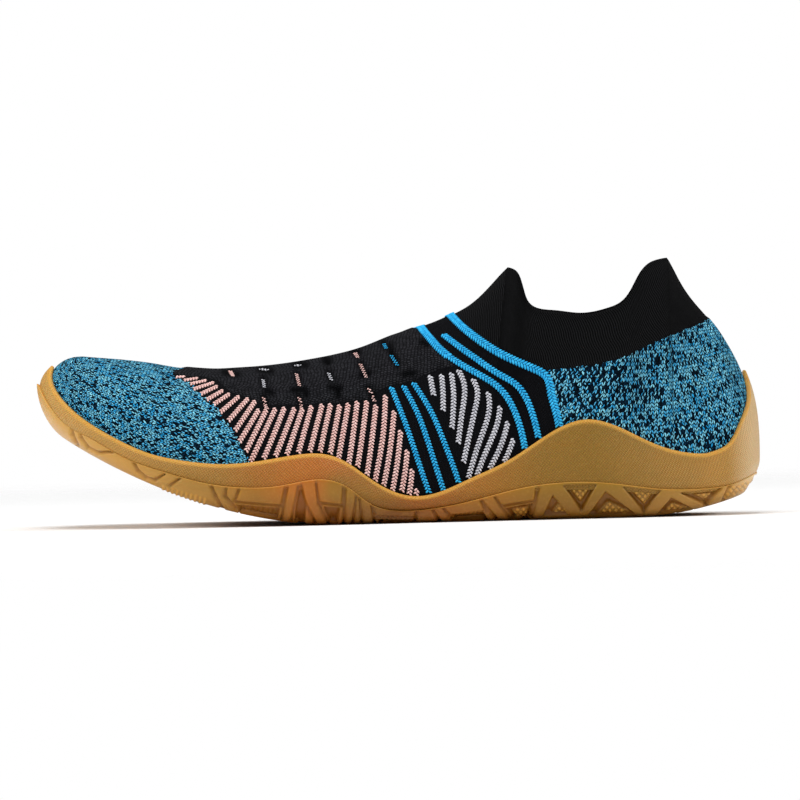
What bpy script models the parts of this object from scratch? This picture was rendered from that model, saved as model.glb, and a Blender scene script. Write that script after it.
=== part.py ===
"""A knitted slip-on barefoot shoe for the left foot: a rubber cup sole, a one-piece knitted upper with
a sock collar, and a loose insole.

The toe points along -X, the outer side of the foot faces -Y and +Z is up. The origin lies on the floor
under the middle of the shoe. All sizes are in metres.

One form, the last surface, gives every piece. It is a family of ribs round the shoe. Each rib starts
at the feather line, where the foot is widest just above the sole, and rises to the middle of the vamp or
to the rim of the collar. A station is a place along the shoe, as a share of its length from the toe.
"""

import math
from collections import Counter

import bmesh
import bpy
import numpy as np

# Overall sizes
LENGTH = 0.280
BALL_WIDTH = 0.098
HEEL_WIDTH = 0.068
TOE_RADIUS = 0.036
HEEL_RADIUS = 0.031
TONGUE_HEIGHT = 0.097
COLLAR_SIDE_HEIGHT = 0.0788
COLLAR_BACK_HEIGHT = 0.0995
COLLAR_WIDTH = 0.050

# The rocker of the sole: how high its ends rise, and the stations between which it lies flat
TOE_SPRING = 0.041
HEEL_SPRING = 0.010
FLAT_FROM = 0.41
FLAT_TO = 0.83
SPRING_CURVE = 1.86

# The stretch at each end, as a share of the length, in which the ribs turn to run along the crest
TOE_TURN = 0.10
HEEL_TURN = 0.03

# The knit
KNIT_WALL = 0.0016
OVERLAY_STEP = 0.0007
COLLAR_STEP = 0.0004
FEATHER_RADIUS = 0.007

# The rubber
BED_HEIGHT = 0.005
RUBBER_WALL = 0.0030
RUBBER_EDGE = 0.0013
RING_STEP = 0.0008
TREAD_DEPTH = 0.0020
POCKET_DEPTH = 0.0015
WAVE_HEIGHT = 0.0374
HEEL_TAB_HEIGHT = 0.0450
RING_HEIGHT = 0.0173

# The insole
INSOLE_THICK = 0.0034
INSOLE_FILLET = 0.0011

# Between one piece and the next
GAP = 0.00045

# Faces along each side of a piece, from toe to heel
UPPER_COLUMNS = (22, 6, 9, 5, 7)
TIP_ZONE = 0.022
SAME_ANGLE = 1e-6
INSOLE_COLUMNS = 34

# The outline at the feather line. width is a share of the ball width, which passes over to the heel
# width between BALL_STATION and HEEL_STATION. shift moves the middle to the inner side of the foot, as a
# share of the ball width.
BALL_STATION = 0.32
HEEL_STATION = 0.80
PLAN = {
    "station": (0.05, 0.10, 0.17, 0.25, 0.32, 0.42, 0.52, 0.60, 0.70, 0.80, 0.88, 0.94),
    "width": (0.640, 0.820, 0.930, 0.980, 1.000, 0.975, 0.940, 0.935, 0.965, 1.000, 0.962, 0.800),
}
MIDDLE = {
    "station": (0.00, 0.10, 0.25, 0.40, 0.55, 0.70, 0.85, 1.00),
    "shift": (0.140, 0.095, 0.040, 0.005, -0.020, -0.020, -0.005, 0.000),
}

# The crest of the last above the tread's plane. It runs over the vamp, on over a dome that the collar
# leaves open, and down the back of the heel. front and back are shares of the height of the tongue and of
# the back of the collar, and the crest is their sum.
CREST = {
    "station": (0.060, 0.115, 0.170, 0.225, 0.281, 0.337, 0.392, 0.448, 0.504, 0.553, 0.602, 0.632, 0.660,
                0.690, 0.720, 0.760, 0.800, 0.835, 0.860, 0.875, 0.894, 0.920, 0.947, 0.965),
    "front": (0.370, 0.440, 0.492, 0.532, 0.572, 0.617, 0.652, 0.692, 0.754, 0.797, 0.862, 0.935, 1.000,
              0.970, 0.850, 0.560, 0.280, 0.090, 0.010, 0.000, 0.000, 0.000, 0.000, 0.000),
    "back": (0.000, 0.000, 0.000, 0.000, 0.000, 0.000, 0.000, 0.000, 0.000, 0.000, 0.000, 0.000, 0.000,
             0.100, 0.275, 0.590, 0.855, 0.995, 1.030, 0.997, 0.885, 0.765, 0.647, 0.545),
}

# Where the ribs end: foot is the station where a rib starts, top where it meets the crest
REACH = {
    "foot": (0.00, 0.03, 0.10, 0.20, 0.30, 0.40, 0.50, 0.60, 0.70, 0.78, 0.86, 0.92, 0.96, 1.00),
    "top": (0.066, 0.084, 0.140, 0.228, 0.325, 0.425, 0.525, 0.625, 0.718, 0.788, 0.855, 0.905, 0.936,
            0.958),
}

# The rim of the collar. front and back are how far it has risen from its lowest height to the tongue's
# and to the heel's.
RIM = {
    "station": (0.620, 0.650, 0.662, 0.667, 0.672, 0.675, 0.678, 0.686, 0.712, 0.754, 0.796, 0.824, 0.838,
                0.853, 0.867, 0.880, 0.920),
    "front": (1.120, 1.045, 1.010, 0.955, 0.840, 0.610, 0.330, 0.180, 0.060, 0.000, 0.000, 0.000, 0.000,
              0.000, 0.000, 0.000, 0.000),
    "back": (0.000, 0.000, 0.000, 0.000, 0.000, 0.000, 0.000, 0.000, 0.000, 0.000, 0.110, 0.395, 0.750,
             0.930, 0.985, 1.010, 1.050),
}

# The roundness of the ribs. low and high are the handles of each rib's curve at its foot and its top, as
# shares of its height and of its reach. collar adds to the upper handle a share of half the collar's
# width, and belly is how far the rib swells outwards, as a share of its height.
SECTIONS = {
    "foot": (0.00, 0.10, 0.22, 0.34, 0.46, 0.56, 0.64, 0.70, 0.78, 0.86, 0.92, 0.97, 1.00),
    "low": (0.66, 0.62, 0.56, 0.48, 0.42, 0.38, 0.37, 0.39, 0.42, 0.44, 0.46, 0.47, 0.47),
    "high": (0.60, 0.64, 0.65, 0.64, 0.64, 0.60, 0.44, 0.20, 0.00, 0.28, 0.38, 0.52, 0.37),
    "collar": (0.00, 0.00, 0.00, 0.00, 0.00, 0.22, 0.54, 0.78, 0.88, 0.50, 0.14, 0.04, 0.00),
    "belly": (0.010, 0.020, 0.010, 0.000, 0.000, 0.005, 0.010, 0.014, 0.026, 0.028, 0.024, 0.018, 0.015),
}

# The line on the knit where its thickness steps: along the lower edge of the raised vamp overlay, up the
# strap, then along the lower edge of the collar. height is a share of the tongue's height. overlay and
# collar are how much of each step shows.
KNIT_LINE = {
    "station": (0.00, 0.12, 0.17, 0.20, 0.25, 0.30, 0.34, 0.40, 0.45, 0.49, 0.53, 0.57, 0.61, 0.66, 0.71,
                0.76, 0.80, 0.84, 0.88, 0.92, 1.00),
    "height": (0.750, 0.690, 0.635, 0.590, 0.550, 0.492, 0.472, 0.475, 0.490, 0.530, 0.575, 0.660, 0.720,
               0.650, 0.592, 0.600, 0.620, 0.655, 0.705, 0.760, 0.860),
    "overlay": (0.0, 0.0, 0.0, 0.5, 1.0, 1.0, 1.0, 1.0, 1.0, 0.6, 0.1, 0.0, 0.0, 0.0, 0.0,
                0.0, 0.0, 0.0, 0.0, 0.0, 0.0),
    "collar": (0.0, 0.0, 0.0, 0.0, 0.0, 0.0, 0.0, 0.0, 0.0, 0.0, 0.0, 0.3, 0.9, 1.0, 1.0,
               1.0, 1.0, 1.0, 1.0, 1.0, 1.0),
}
KNIT_LINE_WIDTH = 0.012
HIGHEST_LINE = 0.85

# The upper edge of the rubber above the rocker, as shares of the wave height, and its heel tab on top of
# that, as a share of the tab's height
EDGE = {
    "foot": (0.000, 0.010, 0.030, 0.060, 0.100, 0.150, 0.200, 0.250, 0.310, 0.360, 0.395, 0.430, 0.460,
             0.490, 0.520, 0.555, 0.600, 0.650, 0.700, 0.755, 0.810, 0.860, 0.900, 0.930, 1.000),
    "wave": (0.570, 0.500, 0.400, 0.335, 0.295, 0.290, 0.355, 0.440, 0.580, 0.690, 0.705, 0.600, 0.440,
             0.310, 0.252, 0.290, 0.430, 0.600, 0.840, 1.000, 0.890, 0.700, 0.580, 0.520, 0.500),
}
TAB = {
    "foot": (0.925, 0.945, 0.960, 0.975, 0.985, 0.993, 1.000),
    "rise": (0.00, 0.03, 0.09, 0.22, 0.36, 0.50, 0.575),
}

# The upper edge of the tread ring above the rocker, as shares of the ring's greatest height
RING = {
    "foot": (0.000, 0.008, 0.025, 0.060, 0.110, 0.170, 0.236, 0.273, 0.337, 0.393, 0.425, 0.457, 0.493,
             0.532, 0.590, 0.668, 0.721, 0.768, 0.855, 0.937, 0.968, 1.000),
    "height": (0.860, 0.680, 0.420, 0.370, 0.335, 0.395, 0.480, 0.570, 0.800, 1.000, 0.840, 0.450, 0.270,
               0.272, 0.415, 0.705, 0.800, 0.795, 0.600, 0.375, 0.320, 0.365),
}

# The tread ring's side, from the edge of the tread to the top of the ring. out is a share of the rubber
# wall, and cut is how much of a pocket's depth is taken there.
RING_SIDE = {
    "rise": (0.00, 0.12, 0.45, 0.82, 1.00),
    "out": (-2.10, -0.70, 0.45, 0.92, 1.00),
    "cut": (0.00, 0.55, 1.00, 1.00, 0.00),
}

# Pockets between the lugs, as stations: where each begins and ends at the top of the ring and at the
# edge of the tread
POCKETS = {
    "top_from": (0.057, 0.103, 0.127, 0.174, 0.237, 0.274, 0.357, 0.384, 0.421, 0.461, 0.541, 0.611,
                 0.684, 0.707, 0.722, 0.780, 0.803, 0.870, 0.887),
    "top_to": (0.061, 0.107, 0.131, 0.178, 0.241, 0.278, 0.361, 0.388, 0.425, 0.465, 0.545, 0.615,
               0.688, 0.710, 0.765, 0.783, 0.857, 0.873, 0.949),
    "low_from": (0.062, 0.090, 0.126, 0.160, 0.243, 0.263, 0.349, 0.388, 0.414, 0.464, 0.549, 0.619,
                 0.672, 0.695, 0.742, 0.770, 0.832, 0.859, 0.917),
    "low_to": (0.067, 0.120, 0.140, 0.172, 0.248, 0.269, 0.371, 0.412, 0.419, 0.469, 0.556, 0.627,
               0.678, 0.727, 0.747, 0.818, 0.837, 0.905, 0.921),
}
# A broad pocket is longer than BROAD_POCKET and has sloped ends, both as shares of the length
POCKET_SLOPE = 0.0030
BROAD_POCKET = 0.010
MOST_TURN = 0.11

# The channels across the tread. Each bends into a chevron on its way: across is how far a lane lies from
# the middle, as a share of the half width, and lag how much of the chevron's depth it takes. The depth is
# a share of the length.
CHANNEL_WIDTH = 0.0026
CHEVRON = 0.008
TREAD_LANES = {"across": (0.45, 0.0, -0.45), "lag": (0.5, 1.0, 0.5)}

# Stations of the columns at the ends of the sole
END_COLUMNS = (0.0, 0.0025, 0.010, 0.024, 0.040)
HEEL_COLUMNS = (0.962, 0.974, 0.983, 0.990, 0.9955, 0.9988, 1.0)


def spline(places, values, at):
    """A natural cubic spline: the smoothest curve through the given values."""
    places, values, at = (np.asarray(a, float) for a in (places, values, at))
    step = np.diff(places)
    slope = np.diff(values) / step
    count = len(places)
    matrix = np.eye(count)
    right = np.zeros(count)
    for i in range(1, count - 1):
        matrix[i, i - 1 : i + 2] = step[i - 1], 2 * (step[i - 1] + step[i]), step[i]
        right[i] = 6 * (slope[i] - slope[i - 1])
    bend = np.linalg.solve(matrix, right)
    at = np.clip(at, places[0], places[-1])
    i = np.clip(np.searchsorted(places, at) - 1, 0, count - 2)
    h, a, b = step[i], places[i + 1] - at, at - places[i]
    curved = bend[i] * a * (a * a / h - h) + bend[i + 1] * b * (b * b / h - h)
    return (values[i] * a + values[i + 1] * b) / h + curved / 6


def smooth_step(x):
    x = np.clip(x, 0.0, 1.0)
    return x * x * (3 - 2 * x)


def column(table, name, at, first="foot"):
    return spline(table[first], table[name], at)


def angle_of(station):
    """The angle that gives a station on the outline: 0 at the toe, pi at the heel."""
    return np.arccos(np.clip(1 - 2 * np.asarray(station, float), -1, 1))


def station_of(angle):
    return (1 - np.cos(angle)) / 2


def lift(station):
    """The height of the tread's plane: a power curve up to the toe and another up to the heel."""
    station = np.asarray(station, float)
    toe = np.clip((FLAT_FROM - station) / FLAT_FROM, 0, 1)
    heel = np.clip((station - FLAT_TO) / (1 - FLAT_TO), 0, 1)
    return TOE_SPRING * toe**SPRING_CURVE + HEEL_SPRING * heel**SPRING_CURVE


def middle(station):
    return BALL_WIDTH * column(MIDDLE, "shift", station, "station")


def half_width(angle):
    """Half the width at the feather line: the sine of the angle, which rounds both ends, times a curve
    that gives each station its width and each end its radius."""
    inner = LENGTH - 2 * RUBBER_WALL
    stations = np.array(PLAN["station"])
    passed = smooth_step((stations - BALL_STATION) / (HEEL_STATION - BALL_STATION))
    widths = np.array(PLAN["width"]) * (BALL_WIDTH + (HEEL_WIDTH - BALL_WIDTH) * passed)
    fullness = widths / 2 / np.sin(angle_of(stations))
    ends = [math.sqrt(radius * inner / 2) for radius in (TOE_RADIUS, HEEL_RADIUS)]
    places = np.concatenate([[0.0], angle_of(stations), [math.pi]])
    values = np.concatenate([[ends[0]], fullness, [ends[1]]])
    return np.sin(angle) * spline(places, values, angle)


def outline(angle, side):
    """The feather line in plan. side is -1 on the outer side of the foot and 1 on the inner side."""
    station = station_of(angle)
    x = RUBBER_WALL + (LENGTH - 2 * RUBBER_WALL) * station
    y = middle(station) + side * half_width(angle)
    return np.stack([x, y], axis=-1)


def outward(angle, side):
    """The outline's unit normal, square to its tangent."""
    nudge = 1e-4
    inside = np.clip(angle, nudge, math.pi - nudge)
    tangent = outline(inside + nudge, side) - outline(inside - nudge, side)
    normal = np.stack([side * -tangent[..., 1], side * tangent[..., 0]], axis=-1)
    normal /= np.linalg.norm(normal, axis=-1, keepdims=True)
    toe, heel = angle <= nudge, angle >= math.pi - nudge
    normal[toe] = (-1.0, 0.0)
    normal[heel] = (1.0, 0.0)
    return normal


def above_tread(flat, height):
    """Points at a height above the tread's plane, where the plane is under each of them."""
    z = lift(flat[..., 0] / LENGTH) + height
    return np.concatenate([flat, z[..., None]], axis=-1)


def crest_point(along):
    """A point of the crest, at a share of the length."""
    height = TONGUE_HEIGHT * column(CREST, "front", along, "station")
    height = height + COLLAR_BACK_HEIGHT * column(CREST, "back", along, "station")
    return above_tread(np.stack([along * LENGTH, middle(along)], axis=-1), height)


def crest_direction(along):
    """The crest's own unit direction, towards the heel."""
    nudge = 1e-3
    tangent = crest_point(along + nudge) - crest_point(along - nudge)
    return tangent / np.linalg.norm(tangent, axis=-1, keepdims=True)


def rim_height(share):
    """The height of the collar's rim above the floor."""
    front = column(RIM, "front", share, "station") * (TONGUE_HEIGHT - COLLAR_SIDE_HEIGHT)
    back = column(RIM, "back", share, "station") * (COLLAR_BACK_HEIGHT - COLLAR_SIDE_HEIGHT)
    return COLLAR_SIDE_HEIGHT + front + back


def collar_ends():
    """Where the crest rises above the collar's rim, and where it falls below it again."""
    shares = np.linspace(RIM["station"][0], RIM["station"][-1], 4001)
    over = shares[crest_point(shares)[:, 2] > rim_height(shares)]
    return over[0], over[-1]


def last_surface(angle, side, rise):
    """A point of the last surface. Each rib is a cubic curve. Its first handle goes straight up from the
    feather line, swelling by the belly. Its last handle comes in level across the crest, and along the
    crest at the toe and the heel. rise runs from 0 at the feather line to 1 on the crest, and from 0 to
    -1 round the quarter circle of the feather edge below it."""
    angle, rise = np.broadcast_arrays(np.asarray(angle, float), np.asarray(rise, float))
    station = station_of(angle)
    foot = outline(angle, side)
    out = outward(angle, side)
    bed = BED_HEIGHT + GAP
    start = above_tread(foot, bed + FEATHER_RADIUS)
    along = column(REACH, "top", station)
    top = crest_point(along)

    turn = (smooth_step(station / TOE_TURN) * smooth_step((1 - station) / HEEL_TURN))[..., None]
    across = np.array([0.0, -side, 0.0])
    forward = crest_direction(along) * np.where(station < 0.5, 1, -1)[..., None]
    direction = forward * (1 - turn) + across * turn
    direction /= np.linalg.norm(direction, axis=-1, keepdims=True)

    height = (top - start)[..., 2:]
    low = column(SECTIONS, "low", station)[..., None] * height
    belly = column(SECTIONS, "belly", station)[..., None] * height
    reach = np.linalg.norm(top[..., :2] - foot, axis=-1, keepdims=True)
    level = np.linalg.norm(direction[..., :2], axis=-1, keepdims=True)
    high = column(SECTIONS, "high", station)[..., None] * (reach * level + height * direction[..., 2:])
    high = high + column(SECTIONS, "collar", station)[..., None] * COLLAR_WIDTH / 2
    first = start + np.concatenate([out * belly, low], axis=-1)
    second = top - direction * high
    t = np.clip(rise, 0, 1)[..., None]
    u = 1 - t
    rib = u**3 * start + 3 * u * u * t * first + 3 * u * t * t * second + t**3 * top

    turned = np.clip(-rise, 0, 1) * math.pi / 2
    inset = foot + FEATHER_RADIUS * out * (np.cos(turned) - 1)[..., None]
    under = above_tread(inset, bed + FEATHER_RADIUS * (1 - np.sin(turned)))
    return np.where((rise >= 0)[..., None], rib, under)


def last_normal(angle, side, rise):
    """The outward unit normal of the last surface, from differences along and across the ribs."""
    nudge = 1e-3
    angle, rise = np.broadcast_arrays(np.asarray(angle, float), np.asarray(rise, float))
    near, far = np.clip(angle - nudge, 0, math.pi), np.clip(angle + nudge, 0, math.pi)
    along = last_surface(far, side, rise) - last_surface(near, side, rise)
    low, high = np.clip(rise - nudge, -1, 1), np.clip(rise + nudge, -1, 1)
    up = last_surface(angle, side, high) - last_surface(angle, side, low)
    normal = side * np.cross(up, along)
    ends = (angle < nudge) | (angle > math.pi - nudge)
    normal[..., 1] = np.where(ends, 0.0, normal[..., 1])
    crest = crest_direction(column(REACH, "top", station_of(angle)))
    square = np.stack([-crest[..., 2], 0 * angle, crest[..., 0]], axis=-1)
    normal = np.where((rise > 1 - nudge)[..., None], square, normal)
    return normal / np.linalg.norm(normal, axis=-1, keepdims=True)


def rise_where(angle, side, offset, height_of):
    """How far up each rib a surface offset from the last first meets a line, given by its height at each
    share of the length. It is read from a fine ladder of steps, and is 1 where they never meet."""
    ladder = np.linspace(-1, 1, 401)
    offset = np.broadcast_to(offset, angle.shape)
    points = last_surface(angle[:, None], side, ladder[None, :])
    points = points + last_normal(angle[:, None], side, ladder[None, :]) * offset[:, None, None]
    above = points[..., 2] - height_of(points[..., 0] / LENGTH)
    first = np.clip(np.argmax(above > 0, axis=1), 1, None)
    rows = np.arange(len(angle))
    low, high = above[rows, first - 1], above[rows, first]
    met = ladder[first - 1] + (ladder[first] - ladder[first - 1]) * low / (low - high)
    return np.where((above > 0).any(axis=1), met, 1.0)


def rise_at(angle, side, offset, height):
    """How far up each rib a surface offset from the last reaches that rib's own height."""
    return rise_where(angle, side, offset, lambda share: height[:, None] + 0 * share)


def rubber_share(angle, side):
    """How far along the shoe the outside of the rubber lies, as a share of the length."""
    x = outline(angle, side)[..., 0] + outward(angle, side)[..., 0] * RUBBER_WALL
    return x / LENGTH


def edge_height(share):
    """The upper edge of the rubber above the floor, with its two waves and the tab at the heel."""
    tab = np.where(share > TAB["foot"][0], column(TAB, "rise", share), 0.0)
    return lift(share) + WAVE_HEIGHT * column(EDGE, "wave", share) + HEEL_TAB_HEIGHT * tab


def ring_height(share):
    """The upper edge of the tread ring above the tread's plane."""
    return RING_HEIGHT * column(RING, "height", share)


def new_object(name, points, faces, colour, roughness, sharp):
    """One mesh object with its doubled points merged, its faces turned outwards and its own finish."""
    mesh = bpy.data.meshes.new(name)
    mesh.from_pydata([tuple(p) for p in points], [], [tuple(int(i) for i in f) for f in faces])
    built = bmesh.new()
    built.from_mesh(mesh)
    bmesh.ops.remove_doubles(built, verts=built.verts, dist=2e-6)
    bmesh.ops.dissolve_degenerate(built, edges=built.edges, dist=1e-7)
    bmesh.ops.recalc_face_normals(built, faces=built.faces)
    if built.calc_volume(signed=True) < 0:
        bmesh.ops.reverse_faces(built, faces=built.faces)
    built.to_mesh(mesh)
    built.free()
    obj = bpy.data.objects.new(name, mesh)
    bpy.context.scene.collection.objects.link(obj)
    finish = bpy.data.materials.new(name)
    finish.use_nodes = True
    shader = finish.node_tree.nodes["Principled BSDF"]
    shader.inputs["Base Color"].default_value = (*colour, 1.0)
    shader.inputs["Roughness"].default_value = roughness
    mesh.materials.append(finish)
    mesh.shade_smooth()
    mesh.set_sharp_from_angle(angle=math.radians(sharp))
    return obj


def loop_faces(rows, columns, start=0, closed_rows=False):
    """Four-sided faces of a grid of points, where each row goes once round the shoe and closes."""
    faces = []
    for r in range(rows if closed_rows else rows - 1):
        for c in range(columns):
            a = start + r * columns + c
            b = start + r * columns + (c + 1) % columns
            up = start + ((r + 1) % rows) * columns
            faces.append((a, b, up + (c + 1) % columns, up + c))
    return faces


def round_the_shoe(angles):
    """The angles and sides of one row: up the outer side from toe to heel, and back down the inner."""
    both = np.concatenate([angles, angles[-2:0:-1]])
    sides = np.concatenate([-np.ones(len(angles)), np.ones(len(angles) - 2)])
    return both, sides


def on_both_sides(function, angles, sides, *others):
    """Evaluates a function of angle and side, where side has to be one number."""
    outer = function(angles, -1, *others)
    inner = function(angles, 1, *others)
    return np.where((sides < 0).reshape((-1,) + (1,) * (outer.ndim - 1)), outer, inner)


def last_row(angles, sides, rise, offset):
    """One row of points round the last, moved out of its surface by an offset."""
    points = on_both_sides(last_surface, angles, sides, rise)
    normals = on_both_sides(last_normal, angles, sides, rise)
    return points + normals * np.reshape(offset, (-1, 1))


def knit_line_height(share):
    """The height of the line where the knit's thickness steps."""
    return TONGUE_HEIGHT * column(KNIT_LINE, "height", share, "station")


def knit_step(share):
    """How far the outer face above the knit line stands proud (the overlay) or is set back (collar)."""
    overlay = np.interp(share, KNIT_LINE["station"], KNIT_LINE["overlay"])
    collar = np.interp(share, KNIT_LINE["station"], KNIT_LINE["collar"])
    return OVERLAY_STEP * overlay - COLLAR_STEP * collar


def foot_under(top_share):
    """The station where the rib starts that meets the crest at a share of the length."""
    stations = np.linspace(0, 1, 2001)
    return np.interp(top_share, column(REACH, "top", stations), stations)


def make_upper():
    """The knitted upper: one hollow wall, open at the collar and underneath. Its outer face has a step
    at the knit line, and its inner face lies one wall inside."""
    opened = foot_under(collar_ends())
    marks = [0.0, *angle_of([opened[0], opened[0] + TIP_ZONE, opened[1] - TIP_ZONE, opened[1]]), math.pi]
    angles = np.concatenate(
        [np.linspace(a, b, n, endpoint=False) for a, b, n in zip(marks, marks[1:], UPPER_COLUMNS)]
        + [[math.pi]]
    )
    around, sides = round_the_shoe(angles)
    rim = on_both_sides(rise_where, around, sides, 0.0, rim_height)
    closed = (around <= marks[1] + SAME_ANGLE) | (around >= marks[4] - SAME_ANGLE)
    rim = np.where(closed, 1.0, rim)
    line = on_both_sides(rise_where, around, sides, 0.0, knit_line_height)
    shown = smooth_step((rim - line) / (1 - HIGHEST_LINE))
    line = np.minimum(line, rim * HIGHEST_LINE)
    step = knit_step(station_of(around)) * shown
    above = line + KNIT_LINE_WIDTH
    turned_in = [0 * line + rise for rise in (-1.0, -0.72, -0.38, 0.0)]

    def between(low, high, shares):
        return [low + (high - low) * share for share in shares]

    flush = turned_in + between(0, line, (0.13, 0.28, 0.44, 0.62, 0.81, 1.0))
    stepped = between(above, rim, (0.0, 0.25, 0.5, 0.75, 1.0))
    inner = between(rim, 0, (0.0, 0.13, 0.27, 0.42, 0.58, 0.72, 0.86)) + turned_in[::-1]
    rows = [last_row(around, sides, rise, 0 * step) for rise in flush]
    rows += [last_row(around, sides, rise, step) for rise in stepped]
    rows += [last_row(around, sides, rise, 0 * step - KNIT_WALL) for rise in inner]
    points = np.concatenate(rows)
    faces = loop_faces(len(rows), len(around), closed_rows=True)
    return new_object("upper", points, sewn(faces, points), (0.03, 0.25, 0.42), 0.9, 40)


def sewn(faces, points):
    """Leaves out the faces that the sewing of a middle line folds shut: those that lost their area, and
    the pairs that came to lie on each other."""
    keys = np.round(points / 2e-6).astype(np.int64)
    same = {}
    index = [same.setdefault(tuple(key), i) for i, key in enumerate(keys)]
    corners = [frozenset(index[i] for i in face) for face in faces]
    uses = Counter(corners)
    return [face for face, ends in zip(faces, corners) if len(ends) > 2 and uses[ends] == 1]


def pocket_columns():
    """The columns of the sole from toe to heel: their stations at the top of the ring, at the edge of the
    tread and in the middle of the tread, and how deep in a pocket each lies. A groove has three columns
    and a broad pocket four. Columns are added where two lie far apart."""
    columns = [(station, station, station, 0.0) for station in END_COLUMNS + HEEL_COLUMNS]
    half = CHANNEL_WIDTH / LENGTH / 2
    for t0, t1, b0, b1 in zip(*(POCKETS[key] for key in ("top_from", "top_to", "low_from", "low_to"))):
        centre = (b0 + b1) / 2
        columns += [(t0, b0, centre - half, 0.0), (t1, b1, centre + half, 0.0)]
        if max(t1 - t0, b1 - b0) < BROAD_POCKET:
            columns += [((t0 + t1) / 2, centre, centre, 1.0)]
            continue
        top_slope = min(POCKET_SLOPE, (t1 - t0) * 0.4)
        low_slope = min(POCKET_SLOPE, (b1 - b0) * 0.4)
        columns += [(t0 + top_slope, b0 + low_slope, centre - half / 2, 1.0)]
        columns += [(t1 - top_slope, b1 - low_slope, centre + half / 2, 1.0)]
    columns = np.array(sorted(columns))
    filled = [columns[0]]
    for column_here in columns[1:]:
        last_one = filled[-1]
        turn = angle_of(column_here[0]) - angle_of(last_one[0])
        extra = math.ceil(turn / MOST_TURN) - 1
        filled += [last_one + (column_here - last_one) * k / (extra + 1) for k in range(1, extra + 1)]
        filled.append(column_here)
    return np.array(filled).T


def outline_row(station, sides, out, height):
    """Points beside the feather outline, moved out of it and up from the tread's plane."""
    angle = angle_of(station)
    flat = on_both_sides(outline, angle, sides)
    flat = flat + on_both_sides(outward, angle, sides) * np.reshape(out, (-1, 1))
    return above_tread(flat, height)


def mirrored(values):
    """A column's values from toe to heel on the outer side and back again on the inner side."""
    return np.concatenate([values, values[-2:0:-1]])


def make_outsole():
    """The rubber cup: a lugged tread, the tread ring, the wavy side wall and the heel tab."""
    top, low, centre, deep = pocket_columns()
    around, sides = round_the_shoe(angle_of(top))
    deep_all, low_all, top_all = mirrored(deep), mirrored(low), mirrored(top)
    count = len(around)
    half = len(top)

    share = on_both_sides(rubber_share, around, sides)
    ring = ring_height(share)
    turn_radius = FEATHER_RADIUS + GAP + RUBBER_WALL
    drop = np.clip((BED_HEIGHT + GAP + FEATHER_RADIUS - ring) / turn_radius, 0, 1)
    ring_out = turn_radius * np.sqrt(1 - drop * drop) - FEATHER_RADIUS
    rows = []
    for rise, out, cut in zip(RING_SIDE["rise"], RING_SIDE["out"], RING_SIDE["cut"]):
        station = low_all + (top_all - low_all) * rise
        raised = TREAD_DEPTH * deep_all
        height = raised * (1 - rise) + ring * rise
        offset = out * (ring_out if out > 0 else RUBBER_WALL) - POCKET_DEPTH * cut * deep_all
        rows.append(outline_row(station, sides, offset, height))

    seam = lift(share) + ring
    edge = edge_height(share)
    for part in (0.06, 0.4, 0.75, 1.0):
        height = seam + (edge - seam) * part
        offset = GAP + (RUBBER_WALL - RING_STEP) * (1 - part**2) + RUBBER_EDGE * part**2
        rise = on_both_sides(rise_at, around, sides, offset, height)
        rows.append(last_row(around, sides, rise, np.full(count, offset)))
    inner_top = on_both_sides(rise_at, around, sides, GAP, edge)
    for part in (1.0, 0.75, 0.5, 0.25):
        rows.append(last_row(around, sides, inner_top * part, np.full(count, GAP)))
    for rise in (0.0, -0.33, -0.67, -1.0):
        rows.append(last_row(around, sides, np.full(count, rise), np.full(count, GAP)))
    points = list(np.concatenate(rows))
    faces = loop_faces(len(rows), count)

    bed = (len(rows) - 1) * count
    faces += across_faces(bed, bed, half, count, [])
    lanes = []
    outer_edge = np.array(points[0:half])
    inner_edge = np.array([points[(count - i) % count] for i in range(half)])
    for across, lag in zip(TREAD_LANES["across"], TREAD_LANES["lag"]):
        lanes.append(len(points))
        station = np.clip(centre + CHEVRON * lag * np.sin(np.pi * centre), 0, 1)
        x = RUBBER_WALL + (LENGTH - 2 * RUBBER_WALL) * station
        x[[0, -1]] = outer_edge[[0, -1], 0]
        y = (outer_edge[:, 1] * (1 + across) + inner_edge[:, 1] * (1 - across)) / 2
        points += list(above_tread(np.stack([x, y], axis=-1), TREAD_DEPTH * deep))
    faces += across_faces(0, 0, half, count, lanes)
    points = np.array(points)
    return new_object("outsole", points, sewn(faces, points), (0.62, 0.36, 0.10), 0.5, 35)


def across_faces(outer, inner, half, count, lanes):
    """Faces across the shoe, from the outer half of a row to its inner half, by way of any lanes."""
    def at(strip, i):
        if strip == "outer":
            return outer + i
        if strip == "inner":
            return inner + (count - i) % count
        return strip + i

    strips = ["outer", *lanes, "inner"]
    faces = []
    for a, b in zip(strips, strips[1:]):
        for i in range(half - 1):
            face = (at(a, i), at(a, i + 1), at(b, i + 1), at(b, i))
            faces.append(tuple(dict.fromkeys(face)))
    return [face for face in faces if len(face) > 2]


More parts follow.
